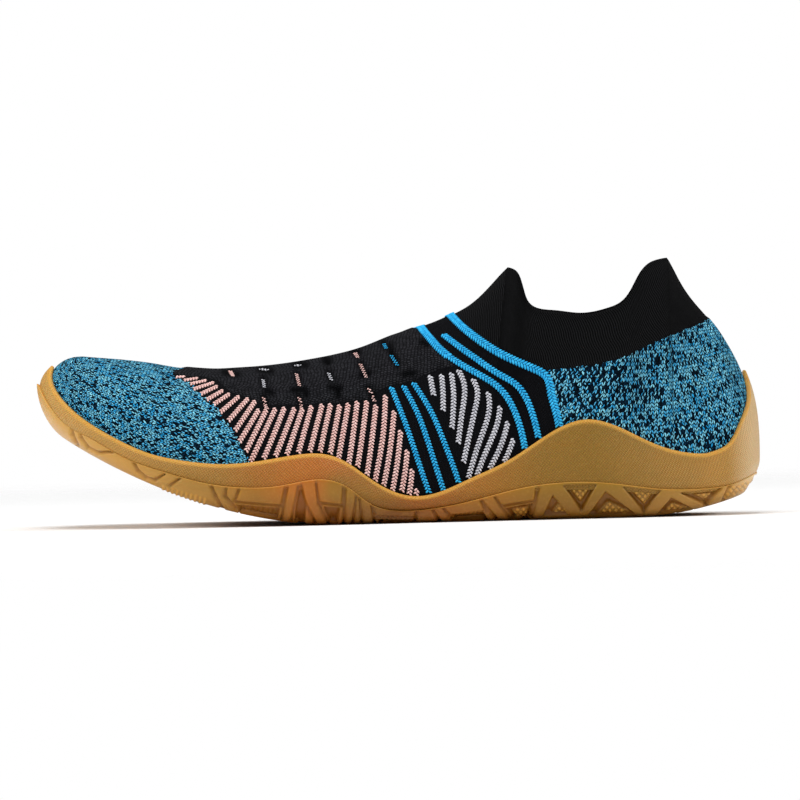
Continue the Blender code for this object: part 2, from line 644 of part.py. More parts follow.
def make_insole():
    """The loose insole: its underside fits inside the turned-in edge of the upper, and its rim lies on
    that edge."""
    around, sides = round_the_shoe(np.linspace(0, math.pi, INSOLE_COLUMNS + 1))
    count = len(around)
    inward = -on_both_sides(outward, around, sides)
    inward = np.concatenate([inward, np.zeros((count, 1))], axis=-1)
    over = np.full(count, -KNIT_WALL - GAP)

    def row(rise, offset, inset):
        return last_row(around, sides, np.full(count, rise), offset) + inward * inset

    rows = [row(-1.0, 0 * over, GAP), row(-1.0, over, GAP)]
    rows += [row(-0.72, over, GAP / 2), row(-0.45, over, GAP / 2)]
    edge = rows[-1]
    height = BED_HEIGHT + GAP + INSOLE_THICK
    rows.append(above_tread(edge[:, :2] + inward[:, :2] * INSOLE_FILLET, np.full(count, height)))
    points = np.concatenate(rows)
    faces = loop_faces(len(rows), count)
    half = INSOLE_COLUMNS + 1
    last = (len(rows) - 1) * count
    faces += across_faces(0, 0, half, count, [])
    faces += across_faces(last, last, half, count, [])
    return new_object("insole", points, faces, (0.05, 0.05, 0.055), 0.9, 35)


def main():
    for obj in list(bpy.data.objects):
        bpy.data.objects.remove(obj, do_unlink=True)
    pieces = [make_outsole(), make_upper(), make_insole()]
    ends = [np.array([tuple(v.co) for v in piece.data.vertices]) for piece in pieces]
    low = np.min([e.min(0) for e in ends], axis=0)
    high = np.max([e.max(0) for e in ends], axis=0)
    centre = bpy.data.objects.new("shoe", None)
    bpy.context.scene.collection.objects.link(centre)
    centre.location = (-(low[0] + high[0]) / 2, -(low[1] + high[1]) / 2, 0.0)
    for piece in pieces:
        piece.parent = centre


main()
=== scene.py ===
# %% [markdown]
# # A knitted barefoot shoe on a gum rubber cup sole
#
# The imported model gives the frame: an outsole, a hollow upper and an insole, in metres, with the toe
# along -X, the outer side of the foot along -Y and +Z up. Each of them is dressed by finer pieces here.

# %% Load the frame
import math

import bpy
import numpy as np
from mathutils import Matrix, Vector


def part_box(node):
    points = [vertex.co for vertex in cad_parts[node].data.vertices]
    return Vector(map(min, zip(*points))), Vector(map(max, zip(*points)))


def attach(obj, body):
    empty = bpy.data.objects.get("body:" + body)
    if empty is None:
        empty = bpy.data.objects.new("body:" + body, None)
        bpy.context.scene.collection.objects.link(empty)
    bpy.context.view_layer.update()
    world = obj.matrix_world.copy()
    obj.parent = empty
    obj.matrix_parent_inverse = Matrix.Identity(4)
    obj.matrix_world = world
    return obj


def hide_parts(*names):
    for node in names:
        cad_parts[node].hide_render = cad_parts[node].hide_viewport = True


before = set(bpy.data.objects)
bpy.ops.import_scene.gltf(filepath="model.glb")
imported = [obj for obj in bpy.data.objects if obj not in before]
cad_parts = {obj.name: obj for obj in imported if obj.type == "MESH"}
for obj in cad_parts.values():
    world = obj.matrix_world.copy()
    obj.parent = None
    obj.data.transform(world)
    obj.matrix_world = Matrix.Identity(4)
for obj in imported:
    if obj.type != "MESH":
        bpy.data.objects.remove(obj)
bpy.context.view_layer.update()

# %% [markdown]
# ## The camera
#
# The real shoe is seen from its outer side, almost level, through a long lens, and the picture is rolled a
# little, so the floor rises to the right. The same lens here lets a place in the side view be named by its
# pixel: `side_view` turns a pixel into a distance from the toe and a height, and that is how the stripes
# and the lugs are laid out below.

# %% Camera
PIXEL = 0.0003882
TOE_PIXEL = 38
FLOOR_PIXEL = (330, 522)
FLOOR_SLOPE = 0.0229
FRAME_PIXELS = 800
CAMERA_DISTANCE = 10.0
CAMERA_ELEVATION = math.radians(1.0)
SENSOR_WIDTH = 36
CAMERA_CLIP = (0.1, 100)


def side_view(pixels):
    """Pixels (x, y) of the side view, as metres from the toe and above the floor."""
    x, y = np.asarray(pixels, float).T
    floor = FLOOR_PIXEL[1] - FLOOR_SLOPE * (x - FLOOR_PIXEL[0])
    return np.stack([(x - TOE_PIXEL) * PIXEL, (floor - y) * PIXEL], axis=-1)


def add_camera(centre):
    """A long lens that looks at the centre from -Y and a little above, rolled by the floor's slope."""
    roll = math.atan(FLOOR_SLOPE)
    right = Vector((math.cos(roll), 0, -math.sin(roll)))
    back = Vector((0, -math.cos(CAMERA_ELEVATION), math.sin(CAMERA_ELEVATION)))
    back = (back - back.dot(right) * right).normalized()
    up = back.cross(right)
    data = bpy.data.cameras.new("camera")
    data.sensor_width = SENSOR_WIDTH
    data.lens = data.sensor_width * CAMERA_DISTANCE / (FRAME_PIXELS * PIXEL)
    data.clip_start, data.clip_end = CAMERA_CLIP
    camera = bpy.data.objects.new("camera", data)
    turned = Matrix((right, up, back)).transposed().to_4x4()
    camera.matrix_world = Matrix.Translation(centre + back * CAMERA_DISTANCE) @ turned
    bpy.context.scene.collection.objects.link(camera)
    bpy.context.scene.camera = camera
    return camera


toe_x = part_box("outsole")[0][0]
middle_x, middle_z = side_view([(FRAME_PIXELS / 2, FRAME_PIXELS / 2)])[0]
camera = add_camera(Vector((middle_x + toe_x, 0, middle_z)))
print("camera at", tuple(camera.location), "lens", camera.data.lens)

# %% [markdown]
# ## The last
#
# A shoe is made round a last, and so is this one. The last is a family of ribs: each starts at the feather
# line, just above the sole, and climbs to the middle of the vamp or to an ankle dome that the collar leaves
# open. A few short tables of shares give every rib, a natural spline joins their values, and every piece is
# then an offset of this one surface.

# %% Sizes and tables of the last
LENGTH = 0.280
BALL_WIDTH = 0.098
HEEL_WIDTH = 0.068
TOE_RADIUS = 0.036
HEEL_RADIUS = 0.031
TONGUE_HEIGHT = 0.097
COLLAR_SIDE_HEIGHT = 0.0788
COLLAR_BACK_HEIGHT = 0.0995
COLLAR_WIDTH = 0.050
TOE_SPRING = 0.041
HEEL_SPRING = 0.010
FLAT_FROM = 0.41
FLAT_TO = 0.83
SPRING_CURVE = 1.86
TOE_TURN = 0.10
HEEL_TURN = 0.03
KNIT_WALL = 0.0016
OVERLAY_STEP = 0.0007
COLLAR_STEP = 0.0004
FEATHER_RADIUS = 0.007
BED_HEIGHT = 0.005
RUBBER_WALL = 0.0030
RUBBER_EDGE = 0.0013
RING_STEP = 0.0008
TREAD_DEPTH = 0.0020
WAVE_HEIGHT = 0.0374
HEEL_TAB_HEIGHT = 0.0450
RING_HEIGHT = 0.0173
GAP = 0.00045
BALL_STATION = 0.32
HEEL_STATION = 0.80
MM = 0.001

PLAN = {
    "station": (0.05, 0.10, 0.17, 0.25, 0.32, 0.42, 0.52, 0.60, 0.70, 0.80, 0.88, 0.94),
    "width": (0.640, 0.820, 0.930, 0.980, 1.000, 0.975, 0.940, 0.935, 0.965, 1.000, 0.962, 0.800),
}
MIDDLE = {
    "station": (0.00, 0.10, 0.25, 0.40, 0.55, 0.70, 0.85, 1.00),
    "shift": (0.140, 0.095, 0.040, 0.005, -0.020, -0.020, -0.005, 0.000),
}
CREST = {
    "station": (0.060, 0.115, 0.170, 0.225, 0.281, 0.337, 0.392, 0.448, 0.504, 0.553, 0.580, 0.602, 0.632,
                0.648, 0.660, 0.690, 0.720, 0.760, 0.800, 0.835, 0.860, 0.875, 0.894, 0.920, 0.947, 0.965),
    "front": (0.370, 0.440, 0.492, 0.532, 0.572, 0.614, 0.652, 0.689, 0.749, 0.794, 0.828, 0.863, 0.942,
              0.990, 1.020, 0.975, 0.850, 0.560, 0.280, 0.090, 0.010, 0.000, 0.000, 0.000, 0.000, 0.000),
    "back": (0.000, 0.000, 0.000, 0.000, 0.000, 0.000, 0.000, 0.000, 0.000, 0.000, 0.000, 0.000, 0.000,
             0.000, 0.000, 0.100, 0.275, 0.590, 0.855, 0.995, 1.030, 1.005, 0.897, 0.775, 0.659, 0.556),
}
REACH = {
    "foot": (0.00, 0.03, 0.10, 0.20, 0.30, 0.40, 0.50, 0.60, 0.70, 0.78, 0.86, 0.92, 0.96, 1.00),
    "top": (0.066, 0.084, 0.140, 0.228, 0.325, 0.425, 0.525, 0.625, 0.718, 0.788, 0.855, 0.905, 0.936,
            0.958),
}
RIM = {
    "station": (0.620, 0.650, 0.660, 0.666, 0.671, 0.675, 0.679, 0.684, 0.692, 0.704, 0.722, 0.754, 0.796,
                0.824, 0.838, 0.853, 0.867, 0.880, 0.920),
    "front": (1.120, 1.035, 0.990, 0.930, 0.805, 0.600, 0.370, 0.215, 0.115, 0.060, 0.030, 0.000, 0.000,
              0.000, 0.000, 0.000, 0.000, 0.000, 0.000),
    "back": (0.000, 0.000, 0.000, 0.000, 0.000, 0.000, 0.000, 0.000, 0.000, 0.000, 0.000, -0.030, 0.065,
             0.350, 0.690, 0.905, 0.975, 1.010, 1.050),
}
SECTIONS = {
    "foot": (0.00, 0.10, 0.22, 0.34, 0.46, 0.56, 0.64, 0.70, 0.78, 0.86, 0.92, 0.97, 1.00),
    "low": (0.66, 0.62, 0.56, 0.48, 0.42, 0.38, 0.37, 0.39, 0.42, 0.44, 0.46, 0.47, 0.47),
    "high": (0.60, 0.64, 0.65, 0.64, 0.64, 0.60, 0.44, 0.20, 0.00, 0.28, 0.38, 0.52, 0.37),
    "collar": (0.00, 0.00, 0.00, 0.00, 0.00, 0.22, 0.54, 0.78, 0.88, 0.50, 0.14, 0.04, 0.00),
    "belly": (0.010, 0.020, 0.010, 0.000, 0.000, 0.005, 0.010, 0.014, 0.026, 0.028, 0.024, 0.018, 0.015),
}
EDGE = {
    "foot": (0.000, 0.010, 0.030, 0.060, 0.100, 0.150, 0.200, 0.250, 0.310, 0.360, 0.395, 0.430, 0.460,
             0.490, 0.520, 0.555, 0.600, 0.650, 0.700, 0.755, 0.810, 0.860, 0.900, 0.930, 1.000),
    "wave": (0.565, 0.465, 0.350, 0.292, 0.277, 0.288, 0.355, 0.440, 0.580, 0.690, 0.705, 0.600, 0.440,
             0.310, 0.252, 0.290, 0.430, 0.600, 0.840, 1.000, 0.890, 0.700, 0.580, 0.520, 0.500),
}
TAB = {
    "foot": (0.925, 0.945, 0.960, 0.975, 0.985, 0.993, 1.000),
    "rise": (0.00, 0.02, 0.05, 0.15, 0.28, 0.45, 0.575),
}
RING = {
    "foot": (0.000, 0.008, 0.025, 0.060, 0.110, 0.170, 0.236, 0.273, 0.337, 0.393, 0.425, 0.457, 0.493,
             0.532, 0.590, 0.668, 0.721, 0.768, 0.855, 0.937, 0.968, 1.000),
    "height": (0.860, 0.680, 0.420, 0.370, 0.335, 0.395, 0.480, 0.570, 0.800, 1.000, 0.840, 0.450, 0.270,
               0.272, 0.415, 0.705, 0.800, 0.795, 0.600, 0.375, 0.320, 0.365),
}

OUTLINE_STEPS = 4001
print("tables of the last:", LENGTH, "m long and", BALL_WIDTH, "m wide at the ball")


# %% Splines and the outline
def spline(places, values, at):
    """A natural cubic spline: the smoothest curve through the given values."""
    places, values, at = (np.asarray(a, float) for a in (places, values, at))
    step = np.diff(places)
    slope = np.diff(values) / step
    count = len(places)
    matrix = np.eye(count)
    right = np.zeros(count)
    for i in range(1, count - 1):
        matrix[i, i - 1 : i + 2] = step[i - 1], 2 * (step[i - 1] + step[i]), step[i]
        right[i] = 6 * (slope[i] - slope[i - 1])
    bend = np.linalg.solve(matrix, right)
    at = np.clip(at, places[0], places[-1])
    i = np.clip(np.searchsorted(places, at) - 1, 0, count - 2)
    h, a, b = step[i], places[i + 1] - at, at - places[i]
    curved = bend[i] * a * (a * a / h - h) + bend[i + 1] * b * (b * b / h - h)
    return (values[i] * a + values[i + 1] * b) / h + curved / 6


def smooth_step(x):
    """0 below 0 and 1 above 1, joined by 3 x^2 - 2 x^3."""
    x = np.clip(x, 0.0, 1.0)
    return x * x * (3 - 2 * x)


def column(table, name, at, first="foot"):
    """One row of a table, joined by a spline over the table's first row."""
    return spline(table[first], table[name], at)


def angle_of(station):
    """The angle that gives a station on the outline: 0 at the toe, pi at the heel."""
    return np.arccos(np.clip(1 - 2 * np.asarray(station, float), -1, 1))


def station_of(angle):
    """The share of the length at an angle: half of one less its cosine."""
    return (1 - np.cos(angle)) / 2


def lift(station):
    """The height of the tread's plane: a power curve up to the toe and another up to the heel."""
    station = np.asarray(station, float)
    toe = np.clip((FLAT_FROM - station) / FLAT_FROM, 0, 1)
    heel = np.clip((station - FLAT_TO) / (1 - FLAT_TO), 0, 1)
    return TOE_SPRING * toe**SPRING_CURVE + HEEL_SPRING * heel**SPRING_CURVE


def middle(station):
    """How far the middle line lies to the inner side."""
    return BALL_WIDTH * column(MIDDLE, "shift", station, "station")


def half_width(angle):
    """The sine of the angle, which rounds both ends, times a curve that gives each station its width."""
    inner = LENGTH - 2 * RUBBER_WALL
    stations = np.array(PLAN["station"])
    passed = smooth_step((stations - BALL_STATION) / (HEEL_STATION - BALL_STATION))
    widths = np.array(PLAN["width"]) * (BALL_WIDTH + (HEEL_WIDTH - BALL_WIDTH) * passed)
    fullness = widths / 2 / np.sin(angle_of(stations))
    ends = [math.sqrt(radius * inner / 2) for radius in (TOE_RADIUS, HEEL_RADIUS)]
    places = np.concatenate([[0.0], angle_of(stations), [math.pi]])
    values = np.concatenate([[ends[0]], fullness, [ends[1]]])
    return np.sin(angle) * spline(places, values, angle)


def outline(angle, side):
    """The feather line in plan: x from the station, y from the middle and half the width."""
    station = station_of(angle)
    x = RUBBER_WALL + (LENGTH - 2 * RUBBER_WALL) * station
    return np.stack([x, middle(station) + side * half_width(angle)], axis=-1)


def outward(angle, side):
    """The outline's unit normal, square to its tangent."""
    nudge = 1e-4
    inside = np.clip(angle, nudge, math.pi - nudge)
    tangent = outline(inside + nudge, side) - outline(inside - nudge, side)
    normal = np.stack([side * -tangent[..., 1], side * tangent[..., 0]], axis=-1)
    normal /= np.linalg.norm(normal, axis=-1, keepdims=True)
    normal[angle <= nudge] = (-1.0, 0.0)
    normal[angle >= math.pi - nudge] = (1.0, 0.0)
    return normal


def above_tread(flat, height):
    """Points at a height above the tread's plane, where the plane is under each of them."""
    z = lift(flat[..., 0] / LENGTH) + height
    return np.concatenate([flat, z[..., None]], axis=-1)


def crest_point(along):
    """A point of the crest, above the tread's plane by the front and back rows of its table, each times its
    own height."""
    height = TONGUE_HEIGHT * column(CREST, "front", along, "station")
    height = height + COLLAR_BACK_HEIGHT * column(CREST, "back", along, "station")
    return above_tread(np.stack([along * LENGTH, middle(along)], axis=-1), height)


def crest_direction(along):
    """The crest's unit tangent, from the difference of two near points."""
    nudge = 1e-3
    tangent = crest_point(along + nudge) - crest_point(along - nudge)
    return tangent / np.linalg.norm(tangent, axis=-1, keepdims=True)


def rim_height(share):
    """The height of the collar's rim above the floor."""
    front = column(RIM, "front", share, "station") * (TONGUE_HEIGHT - COLLAR_SIDE_HEIGHT)
    back = column(RIM, "back", share, "station") * (COLLAR_BACK_HEIGHT - COLLAR_SIDE_HEIGHT)
    return COLLAR_SIDE_HEIGHT + front + back


def edge_height(share):
    """The upper edge of the rubber above the floor, with its two waves and the tab at the heel."""
    tab = np.where(share > TAB["foot"][0], column(TAB, "rise", share), 0.0)
    return lift(share) + WAVE_HEIGHT * column(EDGE, "wave", share) + HEEL_TAB_HEIGHT * tab


def ring_height(share):
    """The upper edge of the tread ring above the tread's plane."""
    return RING_HEIGHT * column(RING, "height", share)


print("width at the heel", round(float(2 * half_width(angle_of(HEEL_STATION))), 4))


# %% Ribs of the last
class Ribs:
    """The ribs at some angles and sides, ready to be evaluated at any rise."""

    def __init__(self, angle, side):
        """Each rib is a cubic curve. Its first handle goes straight up from the feather line and swells by
        the belly. Its last handle comes in level across the crest, or along it at the toe and heel."""
        station = station_of(angle)
        self.angle, self.side = angle, side
        self.foot, self.out = outline(angle, side), outward(angle, side)
        self.bed = BED_HEIGHT + GAP
        self.start = above_tread(self.foot, self.bed + FEATHER_RADIUS)
        along = column(REACH, "top", station)
        self.along = along
        self.top = crest_point(along)
        turn = (smooth_step(station / TOE_TURN) * smooth_step((1 - station) / HEEL_TURN))[..., None]
        across = np.stack([0 * side, -side, 0 * side], axis=-1)
        forward = crest_direction(along) * np.where(station < 0.5, 1, -1)[..., None]
        direction = forward * (1 - turn) + across * turn
        direction /= np.linalg.norm(direction, axis=-1, keepdims=True)
        height = (self.top - self.start)[..., 2:]
        low = column(SECTIONS, "low", station)[..., None] * height
        belly = column(SECTIONS, "belly", station)[..., None] * height
        reach = np.linalg.norm(self.top[..., :2] - self.foot, axis=-1, keepdims=True)
        level = np.linalg.norm(direction[..., :2], axis=-1, keepdims=True)
        high = column(SECTIONS, "high", station)[..., None] * (reach * level + height * direction[..., 2:])
        high = high + column(SECTIONS, "collar", station)[..., None] * COLLAR_WIDTH / 2
        self.first = self.start + np.concatenate([self.out * belly, low], axis=-1)
        self.second = self.top - direction * high

    def at(self, rise):
        """Points at a rise from 0 at the feather line to 1 on the crest. From 0 to -1 they go round the
        quarter circle of the feather edge below it."""
        t = np.clip(rise, 0, 1)[..., None]
        u = 1 - t
        rib = u**3 * self.start + 3 * u * u * t * self.first + 3 * u * t * t * self.second + t**3 * self.top
        turned = np.clip(-rise, 0, 1) * math.pi / 2
        inset = self.foot + FEATHER_RADIUS * self.out * (np.cos(turned) - 1)[..., None]
        under = above_tread(inset, self.bed + FEATHER_RADIUS * (1 - np.sin(turned)))
        return np.where((rise >= 0)[..., None], rib, under)


class Last:
    """The last surface with its normals, over one row of angles and sides."""

    NUDGE = 1e-3
    LADDER_STEPS = 401

    def __init__(self, angle, side):
        self.angle, self.side = np.asarray(angle, float), np.asarray(side, float)
        self.ribs = Ribs(self.angle, self.side)
        self.near = Ribs(np.clip(self.angle - self.NUDGE, 0, math.pi), self.side)
        self.far = Ribs(np.clip(self.angle + self.NUDGE, 0, math.pi), self.side)
        crest = crest_direction(self.ribs.along)
        self.square = np.stack([-crest[..., 2], 0 * self.angle, crest[..., 0]], axis=-1)
        self.ladder = None

    def at(self, rise):
        return self.ribs.at(np.asarray(rise, float))

    def upward(self, rise):
        """The unit direction up the rib."""
        step = self.at(np.clip(rise + self.NUDGE, -1, 1)) - self.at(np.clip(rise - self.NUDGE, -1, 1))
        return step / np.linalg.norm(step, axis=-1, keepdims=True)

    def normal(self, rise):
        """The outward unit normal: the cross product of differences up and along."""
        along = self.far.at(rise) - self.near.at(rise)
        normal = self.side[..., None] * np.cross(self.upward(rise), along)
        ends = (self.angle < self.NUDGE) | (self.angle > math.pi - self.NUDGE)
        normal[..., 1] = np.where(ends, 0.0, normal[..., 1])
        normal = np.where((rise > 1 - self.NUDGE)[..., None], self.square, normal)
        return normal / np.linalg.norm(normal, axis=-1, keepdims=True)

    def out(self, rise, offset):
        """Points moved out of the surface by an offset."""
        rise = np.asarray(rise, float)
        return self.at(rise) + self.normal(rise) * np.asarray(offset)[..., None]

    def rise_where(self, offset, height_of):
        """How far up each rib the offset surface first rises above a line, read from a fine ladder of
        steps. It is 1 where they never meet."""
        if self.ladder is None:
            self.ladder = np.linspace(-1, 1, self.LADDER_STEPS)[:, None] + 0 * self.angle
            self.climb, self.lean = self.at(self.ladder), self.normal(self.ladder)
        points = self.climb + self.lean * np.broadcast_to(offset, self.angle.shape)[..., None]
        above = points[..., 2] - height_of(points[..., 0] / LENGTH)
        first = np.clip(np.argmax(above > 0, axis=0), 1, None)
        each = np.arange(len(self.angle))
        low, high = above[first - 1, each], above[first, each]
        steps = self.ladder[:, 0]
        met = steps[first - 1] + (steps[first] - steps[first - 1]) * low / (low - high)
        return np.where((above > 0).any(axis=0), met, 1.0)

    def rise_at(self, offset, height):
        return self.rise_where(offset, lambda share: height + 0 * share)


def round_the_shoe(angles):
    """One row: up the outer side from toe to heel, and back down the inner."""
    both = np.concatenate([angles, angles[-2:0:-1]])
    sides = np.concatenate([-np.ones(len(angles)), np.ones(len(angles) - 2)])
    return both, sides


def outline_run():
    """Fine, even angles and the run along the outer outline to each of them."""
    fine = np.linspace(0, math.pi, OUTLINE_STEPS)
    steps = np.linalg.norm(np.diff(outline(fine, -1), axis=0), axis=1)
    return fine, np.concatenate([[0], np.cumsum(steps)])


def even_angles(spacing, marks=()):
    """Angles whose points lie evenly along the outer outline, with some given angles among them."""
    fine, run = outline_run()
    ends = np.interp([0, *sorted(marks), math.pi], fine, run)
    pieces = [np.linspace(a, b, max(2, round((b - a) / spacing)), endpoint=False)
              for a, b in zip(ends, ends[1:])]
    return np.interp(np.concatenate(pieces + [[run[-1]]]), run, fine)


print("last ready: width at the ball", round(float(2 * half_width(angle_of(BALL_STATION))), 4))

# %% [markdown]
# ## Making a mesh
#
# Every piece is a grid of points whose rows go round the shoe. `grid_piece` welds the points that
# coincide, drops the faces that the weld folds shut, turns the shell outwards by the sign of its volume,
# keeps UV places and named values, and moves the piece from the toe's corner to the frame's origin.

# %% Mesh helpers
WELD = 2e-6
CUBIC_CENTIMETRE = 1e-6
shift = np.array([toe_x, 0.0, 0.0])


def loop_faces(rows, columns, closed_rows=False):
    """Four-sided faces of a grid where each row goes once round and closes."""
    r = np.arange(rows if closed_rows else rows - 1)[:, None]
    c = np.arange(columns)[None, :]
    up, on = (r + 1) % rows, (c + 1) % columns
    faces = np.stack([r * columns + c, r * columns + on, up * columns + on, up * columns + c], axis=-1)
    return faces.reshape(-1, 4)


def welded(points, faces):
    """Merges points that coincide. It gives each face's new corners and which corners it keeps."""
    keys = np.round(points / WELD).astype(np.int64)
    _, first, inverse = np.unique(keys, axis=0, return_index=True, return_inverse=True)
    inverse = inverse.reshape(-1)
    corners = inverse[faces]
    _, group, uses = np.unique(np.sort(corners, axis=1), axis=0, return_inverse=True, return_counts=True)
    repeated = corners == np.roll(corners, -1, axis=1)
    kept = (uses[group.reshape(-1)] == 1) & (repeated.sum(axis=1) < 2)
    return first, corners[kept], faces[kept], repeated[kept]


def grid_piece(name, points, faces, material, uv=None, values=None, smooth=True):
    """One mesh object from a grid of points and its four-sided faces."""
    points = np.asarray(points, float).reshape(-1, 3)
    first, corners, source, repeated = welded(points, faces)
    whole = ~repeated.any(axis=1)
    quads, quad_source = corners[whole], source[whole]
    keep = ~repeated[~whole]
    tris = corners[~whole][keep].reshape(-1, 3)
    tri_source = source[~whole][keep].reshape(-1, 3)
    place = points[first] + shift
    a, b, c, d = (place[quads[:, k]] for k in range(4))
    volume = np.einsum("ij,ij->", a, np.cross(b, c)) + np.einsum("ij,ij->", a, np.cross(c, d))
    if len(tris):
        volume += np.einsum("ij,ij->", place[tris[:, 0]], np.cross(place[tris[:, 1]], place[tris[:, 2]]))
    turn = slice(None, None, -1 if volume < 0 else 1)
    quads, tris = quads[:, turn], tris[:, turn]
    loops = np.concatenate([quad_source[:, turn].ravel(), tri_source[:, turn].ravel()])
    mesh = bpy.data.meshes.new(name)
    mesh.from_pydata(place.tolist(), [], quads.tolist() + tris.tolist())
    if uv is not None:
        layer = mesh.uv_layers.new(name="knit")
        layer.data.foreach_set("uv", np.asarray(uv).reshape(-1, 2)[loops].astype(np.float32).ravel())
    for key, value in (values or {}).items():
        attribute = mesh.attributes.new(key, "FLOAT", "POINT")
        attribute.data.foreach_set("value", np.asarray(value).reshape(-1)[first].astype(np.float32))
    mesh.materials.append(material)
    if smooth:
        mesh.shade_smooth()
    obj = bpy.data.objects.new(name, mesh)
    bpy.context.scene.collection.objects.link(obj)
    print(name, len(place), "points", 2 * len(quads) + len(tris), "triangles",
          round(abs(volume) / 6 / CUBIC_CENTIMETRE, 1), "cm3")
    return obj


def settle(obj, slot, *nodes):
    """Rides a piece on the shoe and hides the nodes of the frame that it stands for. Its slot, the name of
    its finish, is not used.
    """
    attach(obj, "root")
    if nodes:
        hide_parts(*nodes)
    return obj


sole_angles, sole_sides = round_the_shoe(even_angles(MM))
widest = outline(sole_angles, sole_sides) + outward(sole_angles, sole_sides) * RUBBER_WALL
shift[1] = -(widest[:, 1].min() + widest[:, 1].max()) / 2
print("shift", shift)

# %% [markdown]
# ## Writing shader maths as expressions
#
# A finish is a graph of nodes. `Socket` wraps the output of a node and overloads the operators, so
# `1 - mask * 0.5` adds its Math nodes. `Shader.node` adds any other node by its type.


# %% Shader helpers
class Socket:
    """A node's output that can be added, multiplied and compared."""

    def __init__(self, shader, socket):
        self.shader, self.socket = shader, socket

    def math(self, operation, *others):
        return self.shader.node("ShaderNodeMath", {"operation": operation}, self, *others)

    def __add__(self, other):
        return self.math("ADD", other)

    __radd__ = __add__

    def __mul__(self, other):
        return self.math("MULTIPLY", other)

    __rmul__ = __mul__

    def __sub__(self, other):
        return self.math("SUBTRACT", other)

    def __rsub__(self, other):
        return self.shader.node("ShaderNodeMath", {"operation": "SUBTRACT"}, other, self)

    def __truediv__(self, other):
        return self.math("DIVIDE", other)

    def __pow__(self, other):
        return self.math("POWER", other)

    def __gt__(self, other):
        return self.math("GREATER_THAN", other)

    def __lt__(self, other):
        return self.math("LESS_THAN", other)

    def floor(self):
        return self.math("FLOOR")

    def fract(self):
        return self.math("FRACT")

    def abs(self):
        return self.math("ABSOLUTE")

    def sin(self):
        return self.math("SINE")

    def clip(self, low, high):
        return self.math("MAXIMUM", low).math("MINIMUM", high)

    def ramp(self, low, high):
        """A smooth step from 0 at low to 1 at high."""
        settings = {"interpolation_type": "SMOOTHSTEP"}
        return self.shader.node("ShaderNodeMapRange", settings, self, low, high, 0.0, 1.0)


class Shader:
    """A new material and the calls that add nodes to it."""

    def __init__(self, name):
        self.material = bpy.data.materials.new(name)
        self.material.use_nodes = True
        self.tree = self.material.node_tree
        self.principled = self.tree.nodes["Principled BSDF"]

    def node(self, kind, settings=None, *inputs, out=0, **named):
        """Adds a node. Its settings are set first, then its sockets by place or by name."""
        made = self.tree.nodes.new(kind)
        for key, value in (settings or {}).items():
            setattr(made, key, value)
        sockets = [s for s in made.inputs if s.enabled]
        for socket, value in [*zip(sockets, inputs), *((made.inputs[k], v) for k, v in named.items())]:
            self.feed(socket, value)
        enabled = [s for s in made.outputs if s.enabled]
        return Socket(self, made.outputs[out] if isinstance(out, str) else enabled[out])

    def feed(self, socket, value):
        if isinstance(value, Socket):
            self.tree.links.new(value.socket, socket)
        elif value is not None:
            socket.default_value = value

    def value(self, name):
        """A named value that the mesh carries."""
        return self.node("ShaderNodeAttribute", {"attribute_name": name}, out="Fac")

    def uv(self):
        place = self.node("ShaderNodeUVMap", {"uv_map": "knit"})
        split = self.node("ShaderNodeSeparateXYZ", None, place)
        return split, Socket(self, split.socket.node.outputs[1])

    def position(self):
        return self.node("ShaderNodeTexCoord", out="Object")

    def split(self, vector):
        node = self.node("ShaderNodeSeparateXYZ", None, vector).socket.node
        return [Socket(self, output) for output in node.outputs]

    def join(self, x, y, z=0.0):
        return self.node("ShaderNodeCombineXYZ", None, x, y, z)

    def noise(self, vector, scale, detail=2.0, roughness=0.5):
        return self.node("ShaderNodeTexNoise", None, Vector=vector, Scale=scale, Detail=detail,
                         Roughness=roughness)

    def random(self, *places):
        """A random number from 0 to 1 for each whole-numbered place."""
        return self.node("ShaderNodeTexWhiteNoise", {"noise_dimensions": "3D"}, self.join(*places),
                         out="Value")

    def mix(self, factor, low, high):
        """A colour between two, by a factor."""
        made = self.tree.nodes.new("ShaderNodeMix")
        made.data_type = "RGBA"
        self.feed(made.inputs[0], factor)
        self.feed(made.inputs[6], low)
        self.feed(made.inputs[7], high)
        return Socket(self, made.outputs[2])

    def bump(self, height, distance, strength=1.0):
        return self.node("ShaderNodeBump", None, Height=height, Distance=distance, Strength=strength)

    def finish(self, **sockets):
        """Sets or links the principled shader's sockets. Spaces in their names are underscores here."""
        for name, value in sockets.items():
            self.feed(self.principled.inputs[name.replace("_", " ")], value)
        return self.material


def srgb(red, green, blue):
    """A colour given as 0 to 255 on screen, as the linear values that a shader takes."""
    linear = [c / 255 / 12.92 if c <= 10 else ((c / 255 + 0.055) / 1.055) ** 2.4 for c in (red, green, blue)]
    return (*linear, 1.0)


print("shader helpers ready")

# %% [markdown]
# ## The knit's pattern
#
# The upper is knitted in one piece, and its colours change along a few lines: the rear edge of the marled
# toe, the lower edge of the raised black overlay, the three blue lines of the strap and the lower edge of
# the collar. They are laid out in the side view, and both sides of the shoe carry them.

